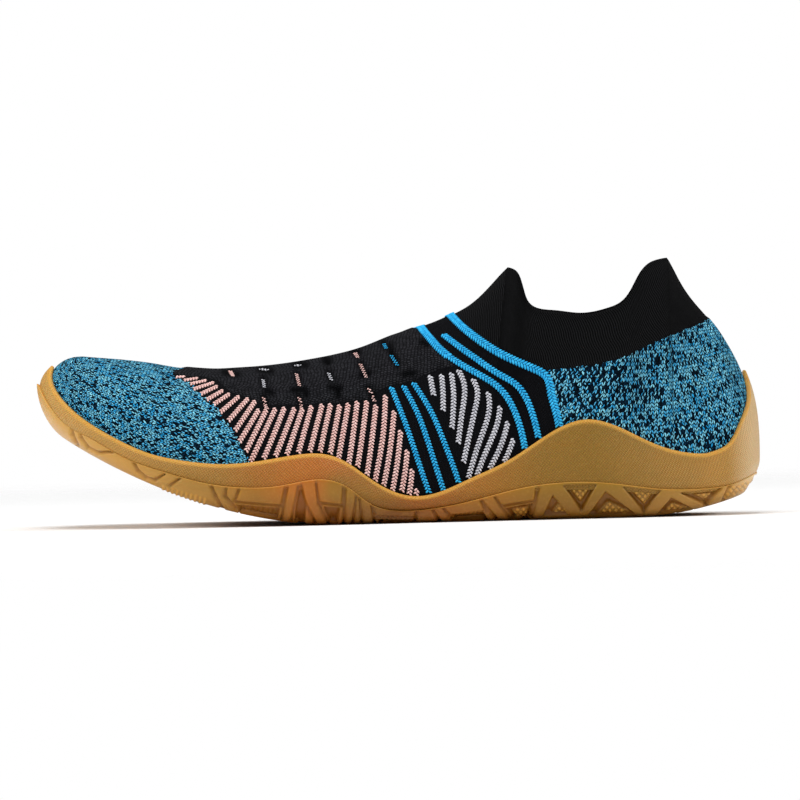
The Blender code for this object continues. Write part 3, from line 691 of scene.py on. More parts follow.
# %% Pattern lines in the side view
TOE_LINE = ((190, 360), (182, 367), (171.7, 371), (173, 374), (187, 380.7), (202.6, 396), (216.6, 407),
            (226.4, 422.8),
            (236, 435), (240.5, 446.6), (246.8, 459), (254, 480), (262, 500))
OVERLAY_LINE = ((150, 371), (172, 371), (187, 374.5), (205, 375), (219, 379.5), (230, 391), (249, 397.4),
                (262, 403), (273, 405), (312, 403.8), (332, 402.5), (349, 401), (368, 399), (376, 392),
                (389.4, 385.5), (412, 381), (428, 373.5), (446, 367), (462, 366), (480, 370))
COLLAR_LINE = ((440, 303), (451, 313.8), (461.2, 324.6), (476.5, 337.4), (497, 351.4), (517.3, 361.6),
               (535.2, 369), (560, 368), (596.7, 364.2), (626, 355.8), (662.6, 338), (692, 326.5),
               (708, 319.5), (730, 309))
STRAP_LOW = ((418.5, 321), (425.5, 331.5), (433, 340.5), (440, 348.5), (448, 355.5), (461, 364),
             (479, 374.4), (499.5, 388.4),
             (509.7, 402.4), (518.6, 425.4), (523.5, 449.6), (525, 470))
STRAP_MIDDLE = ((444.6, 334.8), (461.2, 347.6), (479, 360.4), (499.5, 374.4), (517.3, 385.9),
                (527.6, 402.4), (534, 422.9), (537.5, 440.7), (539, 460))
STRAP_TOP = ((449, 311), (461.2, 324.6), (476.5, 337.4), (497, 351.4), (517.3, 361.6), (535.2, 369.3),
             (546.7, 377), (550.5, 391), (554.3, 407.6), (558.2, 425.4), (560, 445))
SLITS = (((231, 372), (234, 375)), ((261, 370), (268, 370.5)), ((264, 379), (265, 386)),
         ((296, 366), (300, 366)), ((297.6, 374.5), (300, 384.6)), ((326, 361), (329, 363)),
         ((329.5, 373), (332, 379.5)), ((356.5, 354), (358.5, 356.5)), ((361.4, 364), (366.5, 375.7)),
         ((385, 344), (387, 347.5)), ((392.6, 355.3), (398.4, 365.5)), ((338, 388), (338.5, 396)),
         ((264.4, 397), (266, 403)), ((299.5, 397), (301.5, 405)), ((369, 388), (374, 398)),
         ((305, 390), (307, 395)))
# The holes are only spots of painted shade on the overlay, with no dent in the wall.
HOLES = (((266, 371), (272, 373)), ((226, 373), (238, 376)), ((300, 364), (307, 367)), ((267, 391),
         (272, 394)),
         ((294, 391), (302, 390)), ((331, 388), (341, 389)), ((352, 352), (360, 353)), ((362, 376),
         (370, 374)),
         ((391, 347), (395, 361)), ((405, 375), (414, 374)), ((424, 343), (428, 345)), ((326, 359),
         (330, 362)))
PUCKERS = (((262, 368), (263, 402)), ((297, 362), (302, 402)), ((328, 356), (338, 399)),
           ((357, 350), (373, 396)), ((384, 342), (400, 382)))
FOLDS = (((566, 398), (640, 404)), ((600, 416), (668, 424)), ((404, 340), (436, 368)))
DIPS = (((180, 366), (212, 368)),)
UNDER_BAND = 1.6 * MM
print("slits", len(SLITS), "holes", len(HOLES), "puckers", len(PUCKERS), "folds", len(FOLDS))


def seen(points):
    """Where points fall in the side view: the camera's tilt takes a little from the height of those that
    stand out towards it. Both sides of the shoe are taken alike."""
    return points[..., 0], points[..., 2] - np.abs(points[..., 1] + shift[1]) * math.tan(CAMERA_ELEVATION)


def distance_beyond(x, z, line, rising=False):
    """How far points lie past a line, in metres: behind a line that falls as it goes, or above one that
    runs along the shoe. It is measured straight along or straight up, and scaled by the line's slope."""
    at = side_view(line)
    if rising:
        order = np.argsort(at[:, 0])
        slope = np.gradient(at[order, 1], at[order, 0])
        gap = z - np.interp(x, at[order, 0], at[order, 1])
        return gap / np.sqrt(1 + np.interp(x, at[order, 0], slope) ** 2)
    order = np.argsort(at[:, 1])
    slope = np.gradient(at[order, 0], at[order, 1])
    gap = x - np.interp(z, at[order, 1], at[order, 0])
    return gap / np.sqrt(1 + np.interp(z, at[order, 1], slope) ** 2)


def distance_to_edge(x, z, start, end):
    """The distance from points of the side view to the nearest place on a straight edge, which is found by
    the share of the edge that each point falls on."""
    (ax, az), (bx, bz) = start, end
    along = np.clip(((x - ax) * (bx - ax) + (z - az) * (bz - az)) / ((bx - ax) ** 2 + (bz - az) ** 2), 0, 1)
    return np.hypot(x - ax - along * (bx - ax), z - az - along * (bz - az))


def distance_to_segment(x, z, ends):
    """The same distance, for an edge whose ends are pixels."""
    return distance_to_edge(x, z, *side_view(ends))


def knit_zones(x, z):
    """Distances in metres into each zone: the toe cap, the overlay, the collar and the heel quarter. The
    overlay stops short of the strap's lower line, so its step doesn't bury the stitches."""
    toe = -distance_beyond(x, z, TOE_LINE)
    before_strap = -distance_beyond(x, z, STRAP_LOW) - UNDER_BAND
    overlay = np.minimum(distance_beyond(x, z, OVERLAY_LINE, rising=True), -toe)
    overlay = np.minimum(overlay, before_strap)
    behind = distance_beyond(x, z, STRAP_TOP)
    collar = distance_beyond(x, z, COLLAR_LINE, rising=True)
    return {"toe": toe, "overlay": overlay, "collar": collar, "quarter": np.minimum(behind, -collar)}


# %% [markdown]
# ## The knitted wall
#
# The upper is one closed wall: an outer face, a soft rolled rim, and an inner face 1.6 mm inside. Its outer
# face carries the real steps of the fabric, the raised overlay, the thinner collar, the slits with their
# puckers and a few soft folds, as offsets along the surface's normal. The stitches themselves are too
# small for a mesh of a sensible size, so they are left to the finish.

# %% Wall of the upper
SLIT_DEPTH, SLIT_RADIUS, SLIT_SHADE = 1.0 * MM, 1.1 * MM, 2.6 * MM
PUCKER_DEPTH, PUCKER_RADIUS = 0.3 * MM, 2.4 * MM
FOLD_DEPTH, FOLD_RADIUS = 0.5 * MM, 3.0 * MM
DIP_DEPTH, DIP_RADIUS = 0.6 * MM, 8.0 * MM
CREST_SOFT = 2.4 * MM
SOFT_STEP = 1.3 * MM
COLUMN_SPACING, OUTER_ROWS, INNER_ROWS = 0.85 * MM, 108, 12
TURNED_ROWS, LIP_ROWS, OUTSIDE = 8, 7, -0.05
UV_STATION = 0.45
MARL_STARTS, MARL_CHANGE = (0.13, 0.88), 0.45


def collar_ends():
    """Where the crest rises above the collar's rim, and where it falls below it again."""
    shares = np.linspace(RIM["station"][0], RIM["station"][-1], OUTLINE_STEPS)
    over = shares[crest_point(shares)[:, 2] > rim_height(shares)]
    return over[0], over[-1]


def foot_under(top_share):
    """The station where the rib starts that meets the crest at a share of the length."""
    stations = np.linspace(0, 1, 2001)
    return np.interp(top_share, column(REACH, "top", stations), stations)


def knit_relief(x, z, zones):
    """How far the outer face of the knit stands out of the last: steps, slits, puckers and folds. Slits and
    puckers fade out towards the crest, which stays a smooth line."""
    relief = OVERLAY_STEP * smooth_step(zones["overlay"] / SOFT_STEP)
    relief -= COLLAR_STEP * smooth_step(zones["collar"] / SOFT_STEP)
    crest = crest_point(np.linspace(CREST["station"][0], 0.66, 400))
    inner = smooth_step((np.interp(x, crest[:, 0], crest[:, 2]) - z) / CREST_SOFT)
    for lines, depth, radius in ((SLITS, SLIT_DEPTH * inner, SLIT_RADIUS),
                                 (PUCKERS, PUCKER_DEPTH * inner, PUCKER_RADIUS),
                                 (FOLDS, FOLD_DEPTH, FOLD_RADIUS), (DIPS, DIP_DEPTH, DIP_RADIUS)):
        for ends in lines:
            relief -= depth * np.exp(-((distance_to_segment(x, z, ends) / radius) ** 2))
    return relief


def two_sided(angles):
    """A row that owns its toe and heel columns on both sides, so each side has its own UV there."""
    around = np.concatenate([angles, angles[::-1]])
    sides = np.concatenate([-np.ones(len(angles)), np.ones(len(angles))])
    return around, sides


def run_along(grid, axis):
    """Lengths run along a grid of points, in metres."""
    steps = np.linalg.norm(np.diff(grid, axis=axis), axis=-1)
    start = np.zeros_like(np.take(steps, [0], axis=axis))
    return np.concatenate([start, np.cumsum(steps, axis=axis)], axis=axis)


def knit_uv(grid, reference):
    """UV places in millimetres: up the rib from its foot, and along each row from a reference station, so
    a stitch keeps its size all over."""
    half = grid.shape[1] // 2
    u = run_along(grid, 1)
    u[:, :half] -= u[:, [reference]]
    u[:, half:] -= u[:, [2 * half - 1 - reference]]
    return np.stack([u, run_along(grid, 0)], axis=-1) / MM


def marl_run(grid, stations):
    """The run along each row in millimetres, from the middle of the toe cap in front and from the middle of
    the heel quarter behind, so the marl's stitches stand upright there."""
    half = grid.shape[1] // 2
    starts = [int(np.argmin(np.abs(stations - station))) for station in MARL_STARTS]
    start = np.where(stations < MARL_CHANGE, *starts)
    run = run_along(grid, 1) / MM
    return run - run[:, np.concatenate([start, (2 * half - 1 - start)[::-1]])]


def build_wall(material):
    opened = angle_of(foot_under(np.array(collar_ends())))
    fine, run = outline_run()
    marks = np.interp(opened, fine, run)
    angles = even_angles(COLUMN_SPACING, marks)
    around, sides = two_sided(angles)
    half = len(angles)
    last = Last(around, sides)
    rim = last.rise_where(0.0, rim_height)
    closed = (around <= opened[0] + 1e-6) | (around >= opened[1] - 1e-6)
    rim = np.where(closed, 1.0, rim)

    turned = np.linspace(-1, 0, TURNED_ROWS, endpoint=False)[:, None] + 0 * rim
    climb = np.linspace(0, 1, OUTER_ROWS)[:, None] * rim
    rises = np.concatenate([turned, climb])
    outer = last.at(rises)
    x, z = seen(outer)
    zones = knit_zones(x, z)
    fade = smooth_step((rim - rises) / 0.02) * np.where(rim < 1, 1, 0) + np.where(rim < 1, 0, 1)
    relief = knit_relief(x, z, zones) * np.where(rises > 0, 1, 0) * fade
    outer = outer + last.normal(rises) * relief[..., None]

    turns = np.linspace(0, math.pi, LIP_ROWS)[1:-1, None] + 0 * rim
    lip_rise = np.broadcast_to(rim, turns.shape)
    middle_offset = KNIT_WALL / 2 * (np.cos(turns) - 1) + relief[-1] * (1 + np.cos(turns)) / 2
    rolled = last.upward(lip_rise) * (np.sin(turns) * KNIT_WALL / 2 * ~closed)[..., None]
    lip = last.at(lip_rise) + last.normal(lip_rise) * middle_offset[..., None] + rolled
    down = np.linspace(1, 0, INNER_ROWS)[:, None] * rim
    under = np.concatenate([down, np.array([-0.35, -0.7, -1.0])[:, None] + 0 * rim])
    inner = last.out(under, 0 * under - KNIT_WALL)
    grid = np.concatenate([outer, lip, inner])
    grid[:, half] = grid[:, half - 1]
    grid[:, -1] = grid[:, 0]

    lined = np.concatenate([np.zeros(outer.shape[:2]), np.ones(lip.shape[:2]) * 0.5,
                            np.ones(inner.shape[:2])])
    # Painted shade: a mask that fades out round each slit and hole, where the finish paints the knit near
    # black.
    slit_shade_mask = np.zeros(outer.shape[:2])
    for ends in SLITS + HOLES:
        slit_shade_mask = np.maximum(slit_shade_mask, 1 - smooth_step(distance_to_segment(x, z, ends) / SLIT_SHADE))
    slit_shade_mask = np.concatenate([slit_shade_mask, 0 * lip[..., 0], 0 * inner[..., 0]])
    lower = {}
    for key, value in zones.items():
        rest = np.broadcast_to(value[-1] if key == "collar" else OUTSIDE, lip.shape[:2])
        inside = np.full(inner.shape[:2], OUTSIDE)
        lower[key] = np.concatenate([value, rest, inside]) / MM
    reference = int(np.argmin(np.abs(station_of(angles) - UV_STATION)))
    faces = loop_faces(len(grid), 2 * half, closed_rows=True)
    values = {**lower, "lining": lined, "slit_shade_mask": slit_shade_mask, "marl_run": marl_run(grid, station_of(angles))}
    wall = grid_piece("upper_knit", grid, faces, material, knit_uv(grid, reference), values)
    return settle(wall, "knit", "upper")


print("the collar is open between", [round(float(share), 3) for share in collar_ends()])

# %% [markdown]
# ## The finish of the knit
#
# Flat knitting makes rows of V-shaped stitches. In UV space a wale is one column of V's and a course is one
# row, so the two legs of a V are found by a saw tooth: the height along the wale less how far the point lies
# from the wale's middle. Marled yarn changes colour from leg to leg at random.


# %% Knit finish
RIB_WIDTH, PURL_WALE, PURL_COURSE = 0.95, 1.35, 0.95
BODY_STITCH, MARL_STITCH = (1.25, 0.85), (2.0, 1.7, 0.75)
MARL_SIZE, TOE_SIZE_GAIN = 1.14, 0.12
WANDER, MARL_WANDER, RAGGED = 1.3, 1.6, 1.5
HEEL_BACK = (0.070, 0.118)


def stitch_legs(u, v, wale, course, slant=1.0):
    """The legs of V stitches: their height from 0 to 1 and a random number for each leg."""
    across = u / wale
    in_wale = across.fract() - 0.5
    out = in_wale.abs() * 2
    along = v / course - out * slant
    in_leg = along.fract() * 2 - 1
    height = (1 - in_leg * in_leg) * (1 - (out * 2 - 1).abs() ** 3 * 0.85)
    column_number = across.floor() * 2 + (in_wale > 0)
    return height, column_number, along.floor()


def knit_finish():
    """Marl at the toe and heel, black body, purl-like overlay, ribbed collar and lining. Painted shade
    darkens the gaps between stitches, bumps and ribs, a painted highlight lightens their tops, and painted
    shade turns the slits and holes of the overlay near black.
    """
    s = Shader("knit")
    u, v = s.uv()
    ribs = (u * (2 * math.pi / RIB_WIDTH)).sin() * 0.5 + 0.5
    wander = s.noise(s.join(u, v), 0.42, 2.0) - 0.5
    u, v = u + wander * WANDER, v + (s.noise(s.join(v, u), 0.40, 2.0) - 0.5) * WANDER
    toe, overlay, collar = s.value("toe"), s.value("overlay"), s.value("collar")
    quarter, lining = s.value("quarter"), s.value("lining") > 0.4
    in_toe = toe > 0
    run = s.value("marl_run") + wander * MARL_WANDER
    marl_u, marl_v = run + (v - run) * in_toe, v + (run - v) * in_toe
    size = MARL_SIZE + in_toe * TOE_SIZE_GAIN
    leg, wale_number, leg_number = stitch_legs(marl_u * size, marl_v * size, *MARL_STITCH)
    chance = s.random(wale_number, leg_number, 1.0)
    shade = s.random(wale_number, leg_number, 2.0)
    ragged = (chance - 0.5) * RAGGED
    toe_mask = (toe + ragged) > 0
    collar_mask = (collar + ragged) > 0
    marl = (toe_mask + ((quarter + ragged) > 0) * (1 - collar_mask)).clip(0, 1) * (1 - lining)
    patches = s.noise(s.join(u, v), 0.09, 2.0) + (s.noise(s.join(u, v * 1.6), 0.5, 1.0) - 0.5) * 1.6
    alternate = (wale_number + leg_number).math("MODULO", 2.0).abs()
    back = s.split(s.position())[0].ramp(*HEEL_BACK)
    dark_share = 0.26 + (1 - in_toe) * (0.23 - back * 0.21)
    blue = (chance + (patches - 0.5) * 0.4 + (alternate - 0.5) * 0.2) > dark_share

    yarn = s.mix(shade, srgb(32, 156, 216), srgb(142, 226, 248))
    dark = s.mix(shade, srgb(2, 6, 10), srgb(10, 42, 66))
    marled = s.mix(blue, dark, yarn)
    # Painted shade: the gaps round each leg of the marl turn near black.
    marled = s.mix(leg.ramp(0.3, 0.75), srgb(1, 10, 20), marled)

    body = stitch_legs(u, v, *BODY_STITCH)[0]
    # Painted shade and highlight: the body knit is darker between its legs and lighter on their tops.
    plain = s.mix(body.ramp(0.1, 0.9), srgb(5, 5, 6), srgb(21, 21, 24))
    purl_wale = u / PURL_WALE
    purl_row = v / PURL_COURSE + (u / PURL_WALE).floor().math("MODULO", 2.0) * 0.5
    purl = (1 - (purl_row.fract() * 2 - 1) ** 2) * (1 - (purl_wale.fract() * 2 - 1).abs() ** 3)
    purl = purl * (0.4 + s.random(purl_wale.floor(), purl_row.floor(), 3.0) * 0.9)
    # Painted shade and highlight: the purl is darker between its bumps and lighter on their tops.
    purled = s.mix(purl, srgb(4, 4, 5), srgb(48, 48, 52))
    # Painted shade: the slits and holes of the overlay turn near black.
    purled = s.mix(s.value("slit_shade_mask"), purled, srgb(2, 2, 3))
    # Painted shade and highlight: the collar's ribs are darker in their valleys and lighter on their ridges.
    ribbed = s.mix(ribs, srgb(1, 1, 1), srgb(27, 27, 28))

    over_mask = (overlay > 0) * (1 - marl)
    rib_mask = (collar_mask + lining).clip(0, 1) * (1 - marl)
    colour = s.mix(over_mask, plain, purled)
    colour = s.mix(rib_mask, colour, ribbed)
    colour = s.mix(marl, colour, marled)
    fibres = s.noise(s.position(), 5200.0, 2.0)
    colour = s.mix((fibres - 0.55).clip(0, 1) * 0.12, colour, srgb(150, 160, 170))

    relief = marl * leg * 0.40 + (1 - marl) * (over_mask * purl * 0.42 + rib_mask * ribs * 0.22
                                               + (1 - over_mask) * (1 - rib_mask) * body * 0.26)
    relief = relief + fibres * 0.06
    normal = s.bump(relief, MM * 1.1)
    return s.finish(Base_Color=colour, Roughness=0.9, Normal=normal, Specular_IOR_Level=0.03)


knit = knit_finish()
wall = build_wall(knit)

# %% [markdown]
# ## The coloured stripes
#
# Each stripe on the real knit is a chain of V stitches that stands a little proud of the black ground. A
# texture could draw them, but at their size, 2 mm wide, the real relief shows at the edges. So each leg of
# each V is a small flattened ball of yarn, placed along a line that is first laid on the last.

# %% Lay lines on the last
def place_on_last(x, z, side):
    """The angle and rise where the last has a given place in the side view. Damped Newton steps on two
    differences reduce the distance, and a rise never passes the crest."""
    def place_seen(angle, rise):
        return np.stack(seen(Ribs(angle, side).at(rise)), axis=-1)

    angle = angle_of(np.clip(x / LENGTH, 0.002, 0.998))
    rise = np.full(len(x), 0.4)
    target = np.stack([x, z], axis=-1)
    nudge, damping = 1e-3, 1e-7
    for _ in range(20):
        here = place_seen(angle, rise)
        by_angle = (place_seen(angle + nudge, rise) - here) / nudge
        by_rise = (here - place_seen(angle, rise - nudge)) / nudge
        slopes = np.stack([by_angle, by_rise], axis=-1)
        turned = np.swapaxes(slopes, 1, 2)
        square = turned @ slopes + damping * np.eye(2)
        step = np.linalg.solve(square, turned @ (target - here)[..., None])[..., 0]
        angle = np.clip(angle + np.clip(step[:, 0], -0.15, 0.15), 1e-3, math.pi - 1e-3)
        rise = np.clip(rise + np.clip(step[:, 1], -0.15, 0.15), -0.9, 1.0)
    return angle, rise


def smooth_line(points, count=160):
    """A natural spline through the given points, evenly spaced by its run."""
    points = np.asarray(points, float)
    run = np.concatenate([[0], np.cumsum(np.linalg.norm(np.diff(points, axis=0), axis=1))])
    at = np.linspace(0, run[-1], count)
    if len(points) == 2:
        return np.stack([np.interp(at, run, points[:, k]) for k in (0, 1)], axis=-1)
    return np.stack([spline(run, points[:, k], at) for k in (0, 1)], axis=-1)


def lay_lines(paths, pitch, offset):
    """Lays lines on the knit's outer face, on both sides of the shoe. It gives places, normals and
    directions at even steps of pitch, without those that the rubber covers."""
    flat = np.concatenate([side_view(smooth_line(path)) for path in paths] * 2)
    side = np.repeat([-1.0, 1.0], len(flat) // 2)
    angle, rise = place_on_last(flat[:, 0], flat[:, 1], side)
    last = Last(angle, side)
    points, normals = last.at(rise), last.normal(rise)
    relief = knit_relief(*seen(points), knit_zones(*seen(points)))
    points = points + normals * (relief + offset)[:, None]
    laid = []
    for line, normal in zip(*(a.reshape(2 * len(paths), -1, 3) for a in (points, normals))):
        run = run_along(line, 0)
        steps = np.arange(pitch / 2, run[-1], pitch)
        place, lean = (np.stack([np.interp(steps, run, a[:, k]) for k in range(3)], axis=-1)
                       for a in (line, normal))
        if len(steps) > 1:
            laid.append(np.stack([place, lean, np.gradient(place, axis=0)]))
    laid = np.concatenate(laid, axis=1)
    above = seen(laid[0])[1] > edge_height(laid[0, :, 0] / LENGTH) + 0.3 * MM
    return laid[:, above]


LEG_LENGTH, LEG_WIDTH, LEG_IN_PITCH, LEG_HEIGHT = 0.37, 0.19, 0.37, 0.42 * MM
LEG_OUT, LEG_ALONG, LEG_LEAN, LEG_OFFSET = 0.235, 0.25, 50, 0.12 * MM


def yarn_ball(around=6, rings=4):
    """A ball of low resolution: rings of points between two poles, and its faces."""
    polar = np.linspace(0, math.pi, rings + 2)[1:-1, None]
    turn = np.linspace(0, 2 * math.pi, around, endpoint=False)[None, :]
    ring = np.stack([np.cos(polar) + 0 * turn, np.sin(polar) * np.cos(turn), np.sin(polar) * np.sin(turn)],
                    axis=-1).reshape(-1, 3)
    points = np.concatenate([[(1, 0, 0)], ring, [(-1, 0, 0)]])
    last_point = len(points) - 1
    faces = [[0, 1 + c, 1 + (c + 1) % around] for c in range(around)]
    for r in range(rings - 1):
        start = 1 + r * around
        faces += [[start + c, start + around + c, start + around + (c + 1) % around, start + (c + 1) % around]
                  for c in range(around)]
    start = 1 + (rings - 1) * around
    faces += [[start + c, last_point, start + (c + 1) % around] for c in range(around)]
    return points, faces


def chain_piece(name, paths, width, pitch, material, offset=LEG_OFFSET, lean=LEG_LEAN):
    """A piece of V stitches along lines. Each leg starts near the line and opens outwards, and is a ball
    stretched along its own direction, flattened across it and against the knit."""
    ball, ball_faces = yarn_ball()
    lean, half_length = math.radians(lean), LEG_LENGTH * width
    half_width = min(LEG_WIDTH * width, LEG_IN_PITCH * pitch)
    places, normals, along = lay_lines(paths, pitch, offset)
    across = np.cross(normals, along)
    across /= np.linalg.norm(across, axis=1, keepdims=True)
    along = np.cross(across, normals)
    along /= np.linalg.norm(along, axis=1, keepdims=True)
    legs = []
    for way in (-1, 1):
        middle_of_leg = places + across * way * width * LEG_OUT + along * pitch * LEG_ALONG * way
        axis = along * math.cos(lean) + across * way * math.sin(lean)
        wide = np.cross(normals, axis)
        legs.append(middle_of_leg[:, None] + ball[None, :, :1] * axis[:, None] * half_length
                    + ball[None, :, 1:2] * wide[:, None] * half_width
                    + ball[None, :, 2:] * normals[:, None] * LEG_HEIGHT)
    points = np.concatenate(legs)
    count = len(ball)
    faces = [[corner + k * count for corner in face] for k in range(len(points)) for face in ball_faces]
    mesh = bpy.data.meshes.new(name)
    mesh.from_pydata((points.reshape(-1, 3) + shift).tolist(), [], faces)
    tip = mesh.attributes.new("tip", "FLOAT", "POINT")
    tip.data.foreach_set("value", np.tile(ball[:, 0] ** 2, len(points)))
    mesh.materials.append(material)
    mesh.shade_smooth()
    obj = bpy.data.objects.new(name, mesh)
    bpy.context.scene.collection.objects.link(obj)
    print(name, len(points), "legs", sum(len(f) - 2 for f in faces), "triangles")
    return settle(obj, "knit")


print("a leg of yarn has", sum(len(face) - 2 for face in yarn_ball()[1]), "triangles")

# %% Where the stripes run
PINK_STRIPES = (
    ((186, 376), (176, 376.5)), ((199, 377.5), (184, 380)), ((207.5, 379.8), (190, 384)),
    ((215, 382), (195, 389)), ((218.5, 386), (200.5, 394.7)), ((224, 390.5), (207.5, 400)),
    ((230.6, 394), (213.8, 405)), ((240, 396.5), (221.5, 412)), ((249, 398.5), (229, 420.7)),
    ((256, 401), (234.5, 431.8)), ((259.5, 409.5), (240, 440.8)), ((267, 409.5), (245.3, 452)),
    ((276, 408.5), (250.4, 461), (246, 470)), ((285, 407.6), (263, 459), (258, 470)),
    ((295, 408), (274.6, 457), (270, 468)), ((303, 408.5), (286, 455.4), (282, 467)),
    ((312, 406), (297.6, 453.5), (294, 466)), ((322.5, 404.5), (309, 452), (305, 466)),
    ((331, 404), (319, 453), (316, 466)), ((340, 405), (329, 455), (326, 468)),
    ((348.6, 403.5), (338, 456), (335, 470)), ((357.5, 401.5), (348, 461), (345, 476)),
    ((367, 401), (356, 467.6), (353, 482)), ((376, 405), (365.8, 473), (363, 488)),
    ((385.6, 395.5), (383, 430), (374, 478), (371, 492)), ((394, 411), (391, 436), (381.8, 485),
    (379, 496)),
    ((400, 430.5), (397, 455), (390, 491.8), (388, 500)), ((406, 450), (404, 468), (399, 494), (397, 504)),
    ((410.5, 469), (409, 482), (406.7, 495.6), (405, 506)), ((415, 488.6), (413.7, 495), (412, 504)),
)
BLUE_STRIPES = (
    ((391.4, 387.2), (406, 426.7), (418.8, 467.6), (427, 493), (431, 505)),
    ((403.5, 385.6), (417, 413), (430, 452), (441, 489), (445, 502)),
    ((413.5, 382.8), (430.6, 411.4), (442, 439.4), (454.8, 476.4), (460, 495)),
)
GREY_STRIPES = (
    ((430.6, 375.5), (432, 385), (433.8, 395.4)), ((442, 374.6), (443, 392), (442.7, 412)),
    ((451.7, 373), (453.5, 390), (453, 408), (451, 429.2)),
    ((458.7, 370), (463.8, 382), (462.5, 407.6), (456.8, 444.5)),
    ((473, 379), (477, 389), (475, 407.6), (461.9, 461.8)),
    ((488, 392.2), (489, 404), (479, 439.4), (466.3, 477.7)),
    ((499.5, 406.3), (498.2, 416), (484.2, 452), (475, 475)),
    ((507, 421.6), (500.8, 442), (488, 468)), ((512.2, 438.8), (507, 452), (500, 466)),
)
YARN_IN_SLITS = {
    "pink": (((231, 371.5), (234, 375.5)), ((296.8, 373), (300.5, 386)), ((356.2, 353.5), (359, 357)),
             ((360.8, 363), (367, 377)), ((263.7, 396.5), (267, 408)), ((299, 396.5), (302.5, 408)),
             ((368.6, 387.5), (375.5, 402))),
    "blue": (((385, 343.5), (387.5, 348)), ((392, 354.5), (399, 366.5))),
    "grey": (((260.5, 370), (268.5, 370.5)), ((263.7, 378.5), (265.3, 386.5)), ((295.8, 366), (300.4, 366)),
             ((329, 372), (332.5, 380.5))),
}
print("stripes: pink", len(PINK_STRIPES), "blue", len(BLUE_STRIPES), "grey", len(GREY_STRIPES))

# %% Stripe pieces
PITCH, STRIPE, CORD, STRAP, BAND = 1.25 * MM, 2.1 * MM, 2.1 * MM, 2.5 * MM, 3.2 * MM
SLIT_YARN, LOOP, SLIT_OFFSET, SLIT_LEAN = 1.6 * MM, 1.5 * MM, 0.05 * MM, 56


def yarn_finish(name, light, dark, deep):
    """Soft spun yarn: two tones that wander from stitch to stitch, and a deeper one at the ends of each
    leg, where the next leg shades it."""
    s = Shader(name)
    tone = s.noise(s.position(), 620.0, 2.0)
    fibres = s.noise(s.position(), 4200.0, 3.0)
    colour = s.mix(tone.ramp(0.3, 0.7), dark, light)
    colour = s.mix(s.value("tip").ramp(0.2, 1.0) * 0.55, colour, deep)
    normal = s.bump(fibres, 0.12 * MM)
    return s.finish(Base_Color=colour, Roughness=0.88, Normal=normal, Specular_IOR_Level=0.06)


yarns = {
    "pink": yarn_finish("pink_yarn", srgb(250, 212, 206), srgb(236, 190, 182), srgb(152, 108, 102)),
    "blue": yarn_finish("blue_yarn", srgb(64, 194, 246), srgb(42, 166, 224), srgb(18, 112, 164)),
    "grey": yarn_finish("grey_yarn", srgb(224, 224, 230), srgb(196, 196, 204), srgb(96, 96, 106)),
}

chain_piece("pink_stripes", PINK_STRIPES, STRIPE, PITCH, yarns["pink"])
chain_piece("blue_stripes", BLUE_STRIPES, CORD, PITCH, yarns["blue"])
chain_piece("grey_stripes", GREY_STRIPES, STRIPE, PITCH, yarns["grey"])
chain_piece("strap_lines", (STRAP_LOW[4:], STRAP_MIDDLE), STRAP, PITCH, yarns["blue"])
chain_piece("strap_top_line", (STRAP_TOP, STRAP_LOW[:5]), BAND, PITCH, yarns["blue"])
for tone, paths in YARN_IN_SLITS.items():
    chain_piece(tone + "_slit_yarn", paths, SLIT_YARN, LOOP, yarns[tone], SLIT_OFFSET, SLIT_LEAN)

# %% [markdown]
# ## The rubber side wall
#
# The gum rubber is one moulded cup. Its wavy wall grows thinner to a soft lip, and its face is embossed
# with a fine diamond net. The wall here is a closed ring: outer face, rolled lip and inner face are rows
# offset from the last, and each row's height is found on the last by its own ladder.

# %% Side wall
WALL_GAP, LIP_GLOW, NET_PITCH = 0.08 * MM, 1.1 * MM, 1.25
HIDDEN = 1.5 * MM
WALL_SPACING, WALL_ROWS, WALL_START, ROLL_ROWS, BACK_ROWS = 0.9 * MM, 40, -0.12, 9, 8


def build_side_wall(material):
    around, sides = round_the_shoe(even_angles(WALL_SPACING))
    last = Last(around, sides)
    share = (outline(around, sides)[:, 0] + outward(around, sides)[:, 0] * RUBBER_WALL) / LENGTH
    seam = lift(share) + ring_height(share)
    edge = edge_height(share)
    rows = []
    outer_lip = GAP + RUBBER_EDGE
    for part in np.linspace(WALL_START, 1, WALL_ROWS):
        height = seam + (edge - seam) * part
        offset = GAP + (RUBBER_WALL - RING_STEP) * (1 - part**2) + RUBBER_EDGE * part**2
        rows.append(last.out(last.rise_at(offset, height), offset + 0 * around))
    middle_of_lip, radius = (outer_lip + WALL_GAP) / 2, (outer_lip - WALL_GAP) / 2
    rise = last.rise_at(middle_of_lip, edge)
    base, normal, up = last.at(rise), last.normal(rise), last.upward(rise)
    for turn in np.linspace(0, math.pi, ROLL_ROWS)[1:-1]:
        offset = middle_of_lip + radius * math.cos(turn)
        rows.append(base + normal * offset + up * radius * math.sin(turn))
    bottom = last.rise_at(WALL_GAP, seam - HIDDEN)
    for part in np.linspace(1, 0, BACK_ROWS):
        rows.append(last.out(bottom + (rise - bottom) * part, WALL_GAP + 0 * around))
    grid = np.array(rows)
    uv = np.stack([run_along(grid, 1), run_along(grid, 0)], axis=-1) / MM
    # The lip value marks a band just under the rubber's edge, where the finish paints a highlight.
    below_lip = (edge - grid[..., 2]) / LIP_GLOW
    faces = loop_faces(len(grid), len(around), closed_rows=True)
    wall = grid_piece("rubber_side_wall", grid, faces, material, uv, {"lip": 1 - smooth_step(below_lip)})
    return settle(wall, "gum_rubber", "outsole")


